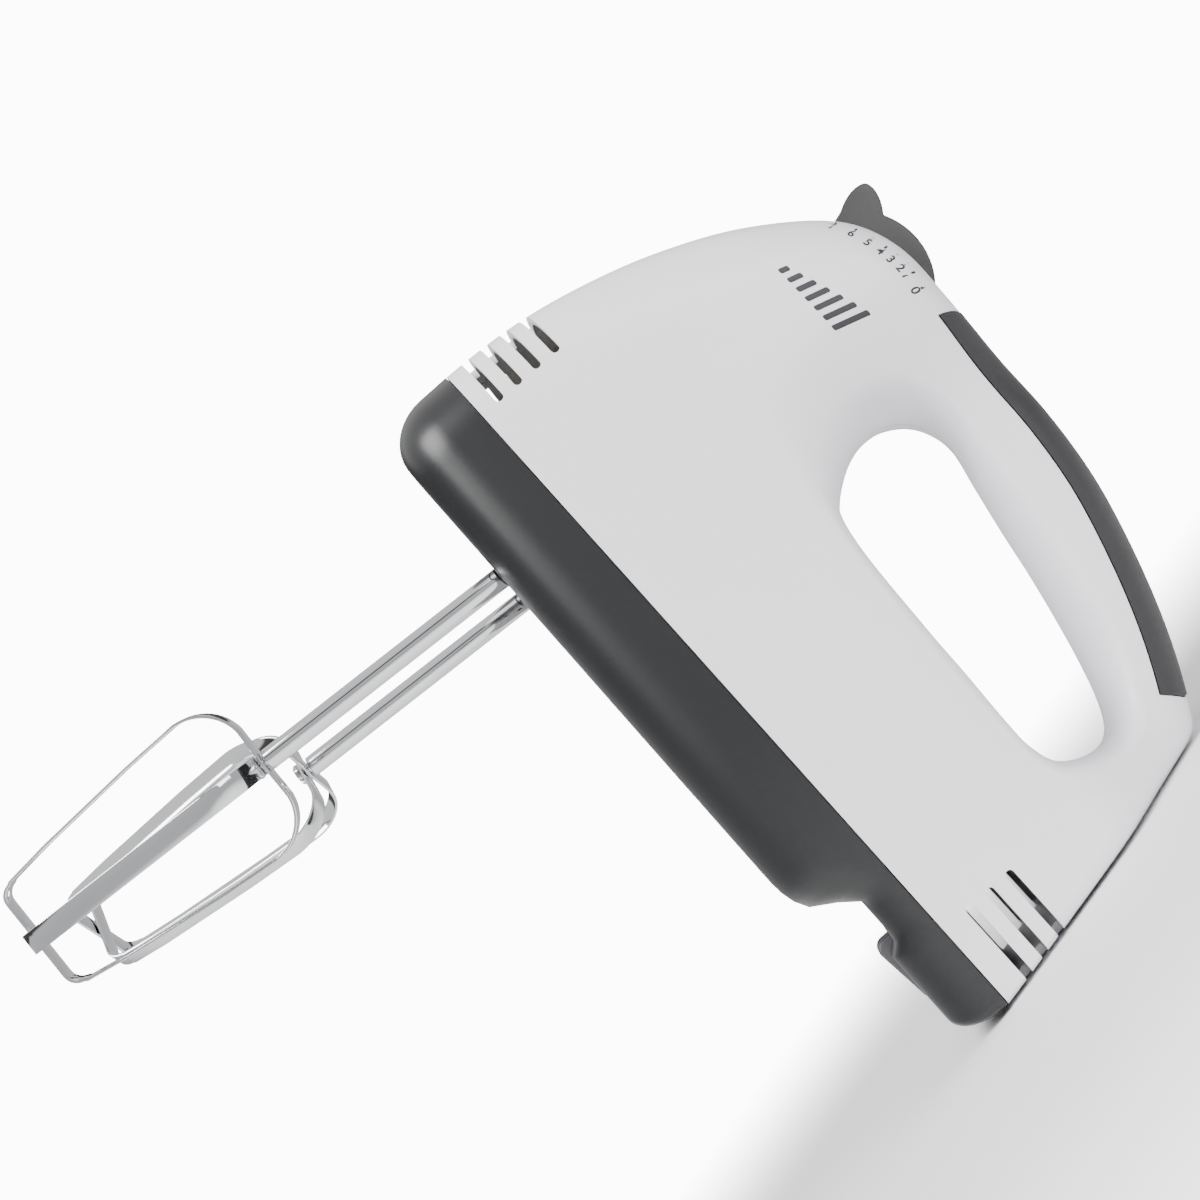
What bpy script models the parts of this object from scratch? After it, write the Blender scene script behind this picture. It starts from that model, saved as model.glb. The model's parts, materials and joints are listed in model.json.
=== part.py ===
"""Hand mixer: a two-part casing on a dark base cover, a speed slider, a worm drive and two beaters.

The named sizes are in millimetres and the meshes are in metres. The casing is drawn in a design frame:
x runs from the nose to the heel, y to the user's right, z up from the underside. The drive leans in that
frame with the beaters, and the whole mixer is stood on its heel at the end.
"""

import math

import bmesh
import bpy
from mathutils import Matrix, Vector

MM = 0.001

# Overall sizes of the casing.
BODY_LENGTH = 192.5        # nose to heel, at the seam
BODY_HEIGHT = 123.0        # underside to the top of the casing
NOSE_X = 4.0               # where the nose lies in the design frame, at the seam
BODY_WIDTH = 76.0          # at the seam
CROWN_WIDTH = 48.0         # at the top of the casing
HANDLE_WIDTH = 29.0
HEEL_WIDTH_LOSS = 3.5      # how much narrower each side is at the heel
SEAM_HEIGHT = 21.2         # where the casing meets the base cover
HEEL_SLOPE = 0.196         # how far the heel leans, per millimetre of height
WALL = 2.2                 # wall of the casing and the base cover
GAP = 0.3                  # air between neighbouring pieces
RIB_SLANT = 0.85           # the ribs cross the walls at a slant, so they are shortened by more than the wall

# Base cover.
HEEL_STEP = 157.0          # where the deep tub ends
HEEL_FLOOR = 12.3          # underside of the recess behind the tub
HEEL_BLOCK = 170.5         # where the heel's block begins behind the recess
HEEL_BLOCK_FLOOR = 9.3     # underside of that block
HEEL_BLOCK_RUN = 3.0       # length of the slope between them
TUB_CORNER = 13.0          # rounding of the underside
STEP_ROUND = 15.0          # rounding of the tub's rear end
SHAFT_HOLE_CLEARANCE = 1.2

# Cord gland under the heel.
GLAND_FROM = 170.0
GLAND_TO = 186.0
GLAND_WIDTH = 14.0
GLAND_LOW = 7.4
GLAND_RISE = 1.6           # how much higher its rear edge lies
GLAND_CORNER = 2.5
GLAND_BORE = 2.6
GLAND_BORE_DEPTH = 11.0

# Speed slider.
SLIDER_X = 52.0
SLIDER_Z = 108.5
DRUM_RADIUS = 19.4
DRUM_WIDTH = 12.0
DRUM_FROM = 43.0           # degrees, the drum's rear edge at speed 7
DRUM_TO = 215.0            # degrees, the hidden skirt's front edge
TOE_RADIUS = 15.0          # the fin's toe reaches down into the slot
TOE_ANGLE = 163.0
SKIRT_FROM = 172.0
SKIRT_RADIUS = 11.0        # the skirt in front of the fin closes the slot at the lower speeds
FIN_ANGLE = 131.5
FIN_HALF_ANGLE = 15.4
FIN_HEIGHT = 6.8
FIN_FULLNESS = 1.6
HUB_RADIUS = 5.0
SLIDER_CLEARANCE = 0.6
SLOT_DROP = 6.0            # how far below the pivot the slot's front wall reaches
SLIDER_PIN_RADIUS = 2.0
EJECT_TRAVEL = 4.0

# Grip strip on the handle.
GRIP_FRONT = 73.5
GRIP_REAR = 174.0
GRIP_FIRST_RIB = 10.36
GRIP_LAST_RIB = 16.0
GRIP_DEPTH = 7.6
GRIP_PROUD = 0.25

# Vents.
VENT_HEIGHT = 2.2
VENT_PITCH = 5.6
NOSE_VENT_FIRST = 26.9
NOSE_VENT_COUNT = 4
NOSE_VENT_END = 24.2
NOSE_VENT_BAR = 6.0        # half of the closed bar on the parting line
HEEL_VENT_FIRST = 28.6
HEEL_VENT_COUNT = 3
HEEL_VENT_START = 175.0
HEEL_VENT_SIDE = 25.0
HEEL_VENT_LIFT = 2.7       # how much higher the right half's slots lie than the left half's

# Drive and beaters.
SPINDLE_X = 50.5           # where the spindle axes cross the underside
DRIVE_LEAN = 3.8           # degrees, the beaters lean to the nose
SPINDLE_SPACING = 38.0
MOTOR_AXIS = 45.0          # height of the motor axis over the underside, along the spindles
SHAFT_RADIUS = 2.7
SHAFT_TOP = 34.0
SPINDLE_WALL = 1.5
SPINDLE_BOTTOM = 5.5
SPINDLE_TOP = 72.0
WORM_PITCH_RADIUS = 5.0
WHEEL_MODULE = 1.0
WHEEL_WIDTH = 5.0
TOOTH_ADDENDUM = 0.8
TOOTH_DEDENDUM = 1.2
WORM_HALF = 8.0
MOTOR_SHAFT_RADIUS = 2.5
CROSSING_DROP = 70.0       # underside to the top of a beater's head
HEAD_LENGTH = 67.5
HEAD_RADIUS = 20.0
HEAD_TIP_RADIUS = 14.5
STRIP_WIDTH = 5.3
STRIP_THICK = 0.8
TENON_RADIUS = 1.2
SHOULDER = 12.0            # how far a strip curves down before it runs straight
STRIP_CORNER = 4.0

# Motor and its frames, in the drive's own frame: x back from the spindles, z up along them.
BRIDGE_LOW = 56.0
BRIDGE_HIGH = 59.0
FRAME_LOW = 12.0
FRAME_HIGH = 15.0
FRONT_WALL_THICK = 3.0
FRONT_WALL_ROOM = 1.2      # air between a wheel's teeth and the front wall
FAN_FROM = 25.0
FAN_TO = 31.0
FAN_RADIUS = 15.5
STACK_FROM = 42.0
STACK_TO = 66.0
ARMATURE_RADIUS = 12.6
ARMATURE_TEETH = 12
WINDING_LENGTH = 6.0
STATOR_BORE = 13.4
STATOR_HALF_WIDTH = 26.0
STATOR_HALF_HEIGHT = 15.8
COIL_IN = 15.6
COIL_OUT = 20.4
WINDOW_LOW = 8.4
WINDOW_HIGH = 13.4
COIL_OVERHANG = 4.5
COMMUTATOR_FROM = 76.0
COMMUTATOR_TO = 86.0
COMMUTATOR_RADIUS = 8.5
BRACKET_FROM = 90.0
BRACKET_TO = 93.0
BRACKET_HALF_WIDTH = 24.0
BEARING_RADIUS = 5.5
FOOT_FROM = 79.0
FOOT_LOW = 14.0
FOOT_HIGH = 17.0
MOTOR_SCREW_Y = 22.5
MOTOR_SCREW_Z = 12.0

# Ejector.
LEG_HALF = 1.8
BRIDGE_ROOM = 2.0          # air over the spindles when the plate is pressed
PLATE_HEIGHT = 4.0
EAR_ROOM = 0.4
EAR_THICK = 2.4
EAR_TOP = 5.0
SPRING_WIRE = 0.6
SPRING_COIL = 5.0
SPRING_TURNS = 4

# Screws.
SCREW_RADIUS = 1.5
SCREW_HEAD_RADIUS = 2.8
SCREW_HEAD_HEIGHT = 1.8
BOSS_WALL = 2.0
SCREW_SEAT = 6.0           # parting plane to the seat of a case screw's head
SCREW_DEPTH = 12.0         # depth of the hole in the left half
SCREW_PLAY = 3.0           # how far a case screw ends before the hole's bottom
CASE_SCREWS = [(20.5, 63.0), (70.5, 88.0), (176.3, 86.5), (180.5, 51.0), (152.0, 54.0)]
BASE_SCREWS = [(13.5, -9.0, FRAME_LOW), (13.5, 9.0, FRAME_LOW), (84.0, -17.0, FOOT_LOW), (84.0, 17.0, FOOT_LOW)]
BASE_SEAT = 3.5            # underside to the seat of a base screw's head
BASE_SCREW_BITE = 4.5      # how far a base screw reaches past its post
WELL_WALL = 1.4

# Ribs of the casing: each runs from the outer parting line to the parting line of the handle opening.
# outer x, outer z, inner x, inner z, outer roll, inner roll, outer fullness, inner fullness
RIBS = [
    (100.0, -40.0, 125.0, 64.3, 9.0, 4.0, 2.6, 2.6),
    (50.0, -40.0, 104.5, 65.5, 14.0, 4.0, 2.6, 2.6),
    (3.8, -30.0, 93.5, 67.8, 28.0, 4.5, 2.6, 2.4),
    (3.8, 10.0, 88.0, 71.6, 28.0, 5.0, 2.6, 2.2),
    (5.0, 38.6, 83.6, 77.2, 28.0, 6.0, 2.6, 2.0),
    (9.1, 61.4, 81.0, 82.6, 28.0, 6.5, 2.5, 2.0),
    (15.4, 81.5, 80.3, 87.4, 27.0, 7.0, 2.4, 2.0),
    (24.2, 99.3, 81.3, 92.2, 25.0, 7.0, 2.4, 2.0),
    (36.6, 115.2, 85.0, 96.8, 22.0, 7.5, 2.4, 1.9),
    (49.9, 122.0, 90.4, 99.4, 20.0, 8.0, 2.4, 1.8),
    (67.0, 122.7, 97.0, 99.9, 16.0, 9.0, 2.3, 1.7),
    (87.1, 121.9, 106.5, 97.6, 13.0, 10.0, 2.3, 1.6),
    (105.0, 121.4, 118.5, 95.0, 12.0, 10.5, 2.3, 1.6),
    (124.0, 118.7, 130.5, 92.7, 11.5, 10.5, 2.3, 1.6),
    (143.0, 113.3, 142.5, 90.0, 11.5, 10.0, 2.3, 1.6),
    (159.5, 107.0, 154.0, 87.0, 11.5, 9.5, 2.3, 1.6),
    (173.8, 99.8, 163.5, 84.0, 11.0, 8.0, 2.4, 1.8),
    (182.2, 94.0, 169.0, 80.8, 11.0, 6.0, 2.6, 2.0),
    (186.0, 84.0, 170.4, 76.5, 10.0, 5.0, 3.0, 2.0),
    (190.3, 62.0, 168.6, 70.6, 9.0, 4.5, 3.6, 2.2),
    (194.8, 38.0, 164.5, 65.4, 9.0, 4.5, 3.6, 2.4),
    (200.2, 10.0, 158.0, 63.2, 9.0, 4.0, 3.6, 2.6),
    (208.0, -30.0, 150.0, 63.2, 9.0, 4.0, 3.6, 2.6),
    (150.0, -40.0, 138.0, 63.9, 9.0, 4.0, 2.6, 2.6),
]
NOSE_SEAM_RIB = 3.35       # the rib whose outer end lies on the seam at the nose
HEEL_SEAM_RIB = 20.64      # and at the heel

# The casing is drawn at these sizes, and stretched if BODY_LENGTH or BODY_HEIGHT differs from them.
DRAWN_LENGTH = 192.5
DRAWN_HEIGHT = 123.0
HEEL_X = NOSE_X + DRAWN_LENGTH
CASING_STEPS = 40          # steps around the casing's surface


# Small helpers ------------------------------------------------------------------------------------

def ramp(value, low, high):
    """0 below low, 1 above high, smooth between."""
    share = min(1.0, max(0.0, (value - low) / (high - low)))
    return share * share * (3.0 - 2.0 * share)


def along(x):
    """A drawn x, moved back with the body's length if it lies behind the motor."""
    return x + (BODY_LENGTH - DRAWN_LENGTH) * min(1.0, max(0.0, (x - 90.0) / 60.0))


def rise(z):
    """A drawn z, moved up with the body's height if it lies above the motor."""
    return z + (BODY_HEIGHT - DRAWN_HEIGHT) * min(1.0, max(0.0, (z - 48.0) / 12.0))


def circle(radius, count, centre=(0.0, 0.0), start=0.0):
    """Points of a circle in a plane."""
    turns = [start + 2.0 * math.pi * i / count for i in range(count)]
    return [(centre[0] + radius * math.cos(a), centre[1] + radius * math.sin(a)) for a in turns]


def rectangle(x0, y0, x1, y1):
    """Corners of a rectangle in a plane."""
    return [(x0, y0), (x1, y0), (x1, y1), (x0, y1)]


def material(name, colour, roughness, metallic=0.0):
    """A Principled BSDF with the piece's own colour."""
    made = bpy.data.materials.new(name)
    made.use_nodes = True
    shader = made.node_tree.nodes["Principled BSDF"]
    shader.inputs["Base Color"].default_value = (*colour, 1.0)
    shader.inputs["Roughness"].default_value = roughness
    shader.inputs["Metallic"].default_value = metallic
    return made


def add_part(name, bm, finish, parent, place=None):
    """Makes a mesh object from a bmesh drawn in millimetres, and parents it."""
    bmesh.ops.remove_doubles(bm, verts=bm.verts, dist=0.0005)
    bmesh.ops.recalc_face_normals(bm, faces=bm.faces)
    bmesh.ops.scale(bm, vec=(MM, MM, MM), verts=bm.verts)
    mesh = bpy.data.meshes.new(name)
    bm.to_mesh(mesh)
    bm.free()
    mesh.shade_smooth()
    mesh.set_sharp_from_angle(angle=math.radians(35.0))
    part = bpy.data.objects.new(name, mesh)
    bpy.context.scene.collection.objects.link(part)
    if finish is not None:
        mesh.materials.append(finish)
    part.parent = parent
    if place is not None:
        part.location = Vector(place) * MM
    return part


def add_cutter(name, bm, parent, place=None):
    """Makes an object that only serves a Boolean."""
    cutter = add_part(name, bm, None, parent, place)
    cutter.hide_render = True
    cutter.display_type = 'WIRE'
    return cutter


def combine(part, other, operation='DIFFERENCE'):
    """Adds an exact Boolean with another object."""
    step = part.modifiers.new(other.name, 'BOOLEAN')
    step.operation = operation
    step.solver = 'EXACT'
    step.object = other
    return step


def slab(outline, holes, low, high, axis='Z'):
    """An outline with holes, extruded from low to high along an axis.

    The outline's coordinates are (x, y) for Z, (x, z) for Y and (y, z) for X.
    """
    bm = bmesh.new()
    for loop in [outline, *holes]:
        verts = [bm.verts.new((p[0], p[1], low)) for p in loop]
        for first, second in zip(verts, verts[1:] + verts[:1]):
            bm.edges.new((first, second))
    bmesh.ops.triangle_fill(bm, use_beauty=True, use_dissolve=False, edges=bm.edges)
    grown = bmesh.ops.extrude_face_region(bm, geom=bm.faces[:], use_keep_orig=True)
    top = [item for item in grown['geom'] if isinstance(item, bmesh.types.BMVert)]
    bmesh.ops.translate(bm, vec=(0.0, 0.0, high - low), verts=top)
    for vert in bm.verts:
        a, b, c = vert.co
        if axis == 'Y':
            vert.co = (a, c, b)
        elif axis == 'X':
            vert.co = (c, a, b)
    return bm


def turned(profile, steps, axis='Z', centre=(0.0, 0.0, 0.0)):
    """A closed solid turned from (radius, height) points; the profile closes on the axis or on itself."""
    bm = bmesh.new()
    verts = [bm.verts.new((radius, 0.0, height)) for radius, height in profile]
    edges = [bm.edges.new(pair) for pair in zip(verts, verts[1:])]
    if profile[0][0] > 0.0:
        edges.append(bm.edges.new((verts[-1], verts[0])))
    bmesh.ops.spin(bm, geom=verts + edges, cent=(0.0, 0.0, 0.0), axis=(0.0, 0.0, 1.0), angle=2.0 * math.pi,
                   steps=steps, use_merge=True, use_duplicate=False)
    bmesh.ops.remove_doubles(bm, verts=bm.verts, dist=0.001)
    turn = {'X': Matrix.Rotation(math.pi / 2.0, 3, 'Y'), 'Y': Matrix.Rotation(-math.pi / 2.0, 3, 'X')}
    if axis in turn:
        bmesh.ops.rotate(bm, matrix=turn[axis], verts=bm.verts)
    bmesh.ops.translate(bm, vec=centre, verts=bm.verts)
    return bm


def ring(inner, outer, low, high, steps, axis='Z', centre=(0.0, 0.0, 0.0)):
    """A plain bush or washer."""
    profile = [(inner, low), (outer, low), (outer, high), (inner, high)]
    return turned(profile, steps, axis, centre)


def rod(radius, low, high, steps, axis='Z', centre=(0.0, 0.0, 0.0)):
    """A plain solid cylinder."""
    profile = [(0.0, low), (radius, low), (radius, high), (0.0, high)]
    return turned(profile, steps, axis, centre)


def block(low, high):
    """A box between two corners."""
    return slab(rectangle(low[0], low[1], high[0], high[1]), [], low[2], high[2])


def gather(pieces):
    """One bmesh out of several that don't touch."""
    whole = bmesh.new()
    for bm in pieces:
        copied = bpy.data.meshes.new("gathered")
        bm.to_mesh(copied)
        bm.free()
        whole.from_mesh(copied)
        bpy.data.meshes.remove(copied)
    return whole


# Casing surface -----------------------------------------------------------------------------------

def rib_at(u, inset=0.0):
    """The rib's eight values at a fractional index, on a smooth closed curve through the drawn ribs.

    An inset shortens the rib at both ends and makes its rolls smaller, for the inside of the wall.
    """
    count = len(RIBS)
    base = math.floor(u)
    t = u - base
    rows = [RIBS[(base + k) % count] for k in (-1, 0, 1, 2)]
    weights = (
        -0.5 * t + t * t - 0.5 * t ** 3,
        1.0 - 2.5 * t * t + 1.5 * t ** 3,
        0.5 * t + 2.0 * t * t - 1.5 * t ** 3,
        -0.5 * t * t + 0.5 * t ** 3,
    )
    px, pz, qx, qz, out_roll, in_roll, out_full, in_full = [
        sum(w * row[k] for w, row in zip(weights, rows)) for k in range(8)]
    length = math.hypot(qx - px, qz - pz)
    step_x = (qx - px) / length * inset / RIB_SLANT
    step_z = (qz - pz) / length * inset / RIB_SLANT
    px, pz, qx, qz = px + step_x, pz + step_z, qx - step_x, qz - step_z
    room = 0.96 * (length - 2.0 * inset / RIB_SLANT)
    out_roll = max(2.0, out_roll - 0.5 * inset)
    in_roll = max(2.0, in_roll - 0.5 * inset)
    squeeze = min(1.0, room / (out_roll + in_roll))
    return px, pz, qx, qz, out_roll * squeeze, in_roll * squeeze, out_full, in_full


def half_width(x, z):
    """Half of the casing's width at a place in side view, before its edges roll in."""
    climb = max(0.0, (z - SEAM_HEIGHT) / (DRAWN_HEIGHT - SEAM_HEIGHT))
    body = BODY_WIDTH / 2.0 - (BODY_WIDTH - CROWN_WIDTH) / 2.0 * climb * climb
    body -= HEEL_WIDTH_LOSS * ramp(x, 110.0, 196.0)
    handle = ramp(x, 56.0, 100.0) * ramp(z, 62.0, 94.0)
    return body + (HANDLE_WIDTH / 2.0 - body) * handle


def roll(share, fullness):
    """The height of a rounded edge, 0 to 1, at a share of its depth."""
    return (1.0 - (1.0 - min(1.0, max(0.0, share))) ** fullness) ** (1.0 / fullness)


def rib_point(u, run, inset=0.0):
    """The point on the right-hand side at a distance along a rib, drawn sizes, not yet stretched."""
    px, pz, qx, qz, out_roll, in_roll, out_full, in_full = rib_at(u, inset)
    length = math.hypot(qx - px, qz - pz)
    share = run / length
    x = px + (qx - px) * share
    z = pz + (qz - pz) * share
    y = half_width(x, z) - inset
    y *= roll(run / out_roll, out_full) * roll((length - run) / in_roll, in_full)
    return x, y, z


def heel_plane_x(z):
    """Where the flat heel lies at a height, in drawn sizes."""
    return HEEL_X - HEEL_SLOPE * (z - SEAM_HEIGHT)


def stretched(x, y, z, inset=0.0):
    """A drawn point at its real place, with the heel kept flat."""
    return along(min(x, heel_plane_x(z) - inset)), y, rise(z)


def casing_skin(around, roll_steps, side_steps, inset=0.0):
    """The closed surface of the whole casing, moved inwards by the inset."""
    half = 2 * roll_steps + side_steps
    bm = bmesh.new()
    bmesh.ops.create_grid(bm, x_segments=around, y_segments=2 * half, size=1.0)
    for vert in bm.verts:
        u = (vert.co.x + 1.0) / 2.0 * len(RIBS)
        row = round((vert.co.y + 1.0) * half)
        side = 1.0
        if row > half:
            side = -1.0
            row = 2 * half - row
        rib = rib_at(u, inset)
        length = math.hypot(rib[2] - rib[0], rib[3] - rib[1])
        if row <= roll_steps:
            turn = math.pi / 2.0 * row / roll_steps
            run = rib[4] * (1.0 - math.cos(turn) ** (2.0 / rib[6]))
        elif row < half - roll_steps:
            run = rib[4] + (length - rib[4] - rib[5]) * (row - roll_steps) / side_steps
        else:
            turn = math.pi / 2.0 * (half - row) / roll_steps
            run = length - rib[5] * (1.0 - math.cos(turn) ** (2.0 / rib[7]))
        x, y, z = rib_point(u, run, inset)
        if row in (0, half):
            y = 0.0
        x, y, z = stretched(x, y, z, inset)
        vert.co = (x, y * side, z)
    bmesh.ops.remove_doubles(bm, verts=bm.verts, dist=0.001)
    bmesh.ops.triangulate(bm, faces=bm.faces)
    return bm


def seam_outline(count):
    """The casing's outline at the seam, right-hand side, from the nose to the heel, in drawn sizes."""
    ribs = len(RIBS)
    first = NOSE_SEAM_RIB
    last = HEEL_SEAM_RIB - ribs
    points = []
    for i in range(count + 1):
        u = first + (last - first) * (0.5 - 0.5 * math.cos(math.pi * i / count))
        rib = rib_at(u)
        share = max(0.0, (SEAM_HEIGHT - rib[1]) / (rib[3] - rib[1]))
        length = math.hypot(rib[2] - rib[0], rib[3] - rib[1])
        x, y, _ = rib_point(u, share * length)
        points.append((min(x, heel_plane_x(SEAM_HEIGHT)), y))
    points[0] = (points[0][0], 0.0)
    points[-1] = (points[-1][0], 0.0)
    return points


def floor_height(x):
    """The underside's height in drawn sizes: deep tub, its rounded end, a recess and the heel's block."""
    back = HEEL_STEP - x
    if back <= 0.0:
        return HEEL_FLOOR - (HEEL_FLOOR - HEEL_BLOCK_FLOOR) * ramp(x, HEEL_BLOCK, HEEL_BLOCK + HEEL_BLOCK_RUN)
    if back >= STEP_ROUND:
        return 0.0
    return HEEL_FLOOR * (1.0 - (1.0 - (1.0 - back / STEP_ROUND) ** 2.6) ** (1.0 / 2.6))


def base_form(count, arc_steps, inset=0.0):
    """The closed form of the base cover: walls down from the seam, a rolled edge and the underside."""
    side = seam_outline(count)
    loop = side + [(x, -y) for x, y in side[-2:0:-1]]
    top = SEAM_HEIGHT - GAP / 2.0 + inset * 2.0
    rows = 2 + arc_steps + 2
    bm = bmesh.new()
    rings = []
    for row in range(rows):
        verts = []
        for x, y in loop:
            centre = Vector((min(HEEL_X - 18.0, max(28.0, x)), 0.0))
            start = Vector((x, y))
            reach = (centre - start).length
            inward = (centre - start) / reach if reach > 0.001 else Vector((0.0, 0.0))
            corner = min(TUB_CORNER, (SEAM_HEIGHT - floor_height(x)) * 0.85)
            turn = math.pi / 2.0 * max(0, min(row - 1, arc_steps)) / arc_steps
            step_in = inset + (corner - inset) * (1.0 - math.cos(turn))
            up = (corner - inset) * (1.0 - math.sin(turn)) + inset
            if row == rows - 2:
                step_in = corner + (reach - corner) * 0.5
            if row == rows - 1:
                step_in = reach
            place = start + inward * min(step_in, reach)
            z = top if row == 0 else floor_height(place.x) + up
            verts.append(bm.verts.new((along(place.x), place.y, z)))
        rings.append(verts)
    count_all = len(loop)
    for upper, lower in zip(rings, rings[1:]):
        for i in range(count_all):
            bm.faces.new((upper[i], upper[(i + 1) % count_all], lower[(i + 1) % count_all], lower[i]))
    bm.faces.new(rings[0])
    bmesh.ops.remove_doubles(bm, verts=bm.verts, dist=0.01)
    bmesh.ops.dissolve_degenerate(bm, edges=bm.edges, dist=0.01)
    bmesh.ops.triangulate(bm, faces=bm.faces)
    return bm


# Finishes -----------------------------------------------------------------------------------------

def make_finishes():
    """One material for each kind of finish."""
    return {
        'white': material("white_abs", (0.74, 0.73, 0.77), 0.38),
        'dark': material("charcoal_abs", (0.035, 0.037, 0.042), 0.36),
        'grip': material("grip_rubber", (0.06, 0.06, 0.064), 0.5),
        'slider': material("slider_abs", (0.075, 0.075, 0.077), 0.42),
        'gland': material("gland_rubber", (0.12, 0.12, 0.13), 0.5),
        'chrome': material("chromed_steel", (0.78, 0.79, 0.8), 0.12, 1.0),
        'steel': material("plain_steel", (0.55, 0.56, 0.58), 0.35, 1.0),
        'lamination': material("lamination_steel", (0.3, 0.31, 0.33), 0.5, 1.0),
        'copper': material("enamelled_copper", (0.6, 0.25, 0.1), 0.35, 1.0),
        'brass': material("brass", (0.75, 0.58, 0.28), 0.35, 1.0),
        'carbon': material("carbon", (0.03, 0.03, 0.03), 0.7),
        'nylon': material("natural_nylon", (0.75, 0.72, 0.62), 0.45),
        'black': material("black_phenolic", (0.02, 0.02, 0.02), 0.5),
    }


# Casing pieces ------------------------------------------------------------------------------------

def grip_outline(grow):
    """The grip's outline in side view: an even band along the handle's top, grown by a clearance."""
    lower = []
    steps = 12
    for i in range(steps + 1):
        u = GRIP_FIRST_RIB + (GRIP_LAST_RIB - GRIP_FIRST_RIB) * i / steps
        here = rib_at(u)
        ahead = rib_at(u + 0.05)
        heading = Vector((ahead[0] - here[0], ahead[1] - here[1])).normalized()
        foot = Vector((here[0], here[1])) + Vector((heading.y, -heading.x)) * (GRIP_DEPTH + grow)
        lower.append((along(foot.x), rise(foot.y)))
    front = (along(GRIP_FRONT) - grow, lower[0][1])
    rear = (along(GRIP_REAR) + grow, rise(97.5))
    return [*lower, rear, (rear[0] + 2.0, rise(112.0)), (front[0] + 60.0, rise(140.0)),
            (front[0] + 6.0, rise(140.0)), front]


def make_slider_slot(root):
    """The space that the drum and the fin move in, cut out of the casing's top."""
    reach = DRUM_RADIUS + SLIDER_CLEARANCE
    front = FIN_ANGLE + FIN_HALF_ANGLE + math.degrees(SLIDER_CLEARANCE / DRUM_RADIUS) * 2.0
    turns = [math.radians(-70.0 + (front + 70.0) * i / 32.0) for i in range(33)]
    outline = [(SLIDER_X + reach * math.cos(turn), rise(SLIDER_Z) + reach * math.sin(turn)) for turn in turns]
    outline.append((outline[-1][0], rise(SLIDER_Z) - SLOT_DROP))
    outline.append((SLIDER_X, rise(SLIDER_Z) - SLOT_DROP))
    disc = slab(outline, [], -DRUM_WIDTH / 2.0 - SLIDER_CLEARANCE, DRUM_WIDTH / 2.0 + SLIDER_CLEARANCE, 'Y')
    return add_cutter("slider_slot", disc, root)


def boss_place(index):
    """Where a case screw lies in side view."""
    x, z = CASE_SCREWS[index]
    return along(x), rise(z)


def make_bosses(root, side, steps, name):
    """Stepped cylinders along y at all the case screws; the steps are (distance from the parting, radius)."""
    pieces = []
    profile = [(0.0, steps[0][0]), *[(radius, away) for away, radius in steps], (0.0, steps[-1][0])]
    for index in range(len(CASE_SCREWS)):
        x, z = boss_place(index)
        pieces.append(turned(profile, 12, 'Y', (x, 0.0, z)))
    return add_cutter(name, mirrored_if_left(gather(pieces), side), root)


def mirrored_if_left(bm, side):
    """The same shape on the other side of the parting plane, if the side is negative."""
    if side < 0.0:
        bmesh.ops.scale(bm, vec=(1.0, -1.0, 1.0), verts=bm.verts)
    return bm


def vent_cutters(side, root, name):
    """The slots of one side: around the nose and at the heel."""
    pieces = []
    for i in range(NOSE_VENT_COUNT):
        z = NOSE_VENT_FIRST + i * VENT_PITCH
        low = (-10.0, NOSE_VENT_BAR, z - VENT_HEIGHT / 2.0)
        high = (NOSE_VENT_END, BODY_WIDTH, z + VENT_HEIGHT / 2.0)
        pieces.append(block(low, high))
    for i in range(HEEL_VENT_COUNT):
        z = HEEL_VENT_FIRST + i * VENT_PITCH + (HEEL_VENT_LIFT if side > 0.0 else 0.0)
        low = (along(HEEL_VENT_START), HEEL_VENT_SIDE, z - VENT_HEIGHT / 2.0)
        high = (along(HEEL_X) + 20.0, BODY_WIDTH, z + VENT_HEIGHT / 2.0)
        pieces.append(block(low, high))
    return add_cutter(name, mirrored_if_left(gather(pieces), side), root)


def make_housing(name, side, root, finish, slot, grip_space):
    """One half of the casing: a wall, its screw bosses, its vents and its part of the slider slot."""
    part = add_part(name, casing_skin(CASING_STEPS, 3, 3), finish, root)
    hollow = add_cutter(name + "_hollow", casing_skin(CASING_STEPS, 3, 3, WALL), root)
    combine(part, hollow)
    boss = SCREW_RADIUS + GAP + BOSS_WALL
    posts = make_bosses(root, side, [(0.0, boss), (BODY_WIDTH, boss)], name + "_posts")
    inside = add_cutter(name + "_post_ends", casing_skin(CASING_STEPS, 3, 3, WALL * 0.5), root)
    combine(posts, inside, 'INTERSECT')
    combine(part, posts, 'UNION')
    low = (-20.0, GAP / 2.0, SEAM_HEIGHT + GAP / 2.0)
    high = (BODY_LENGTH + 40.0, BODY_WIDTH, BODY_HEIGHT + 20.0)
    if side < 0.0:
        low, high = (low[0], -high[1], low[2]), (high[0], -low[1], high[2])
    combine(part, add_cutter(name + "_extent", block(low, high), root), 'INTERSECT')
    combine(part, grip_space)
    combine(part, slot)
    hole = SCREW_RADIUS + GAP
    space = [(-1.0, hole), (SCREW_DEPTH, hole)]
    if side > 0.0:
        well = SCREW_HEAD_RADIUS + GAP
        space = [(-1.0, hole), (SCREW_SEAT, hole), (SCREW_SEAT, well), (BODY_WIDTH, well)]
    combine(part, make_bosses(root, side, space, name + "_screw_spaces"))
    combine(part, vent_cutters(side, root, name + "_vents"))
    return part


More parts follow.
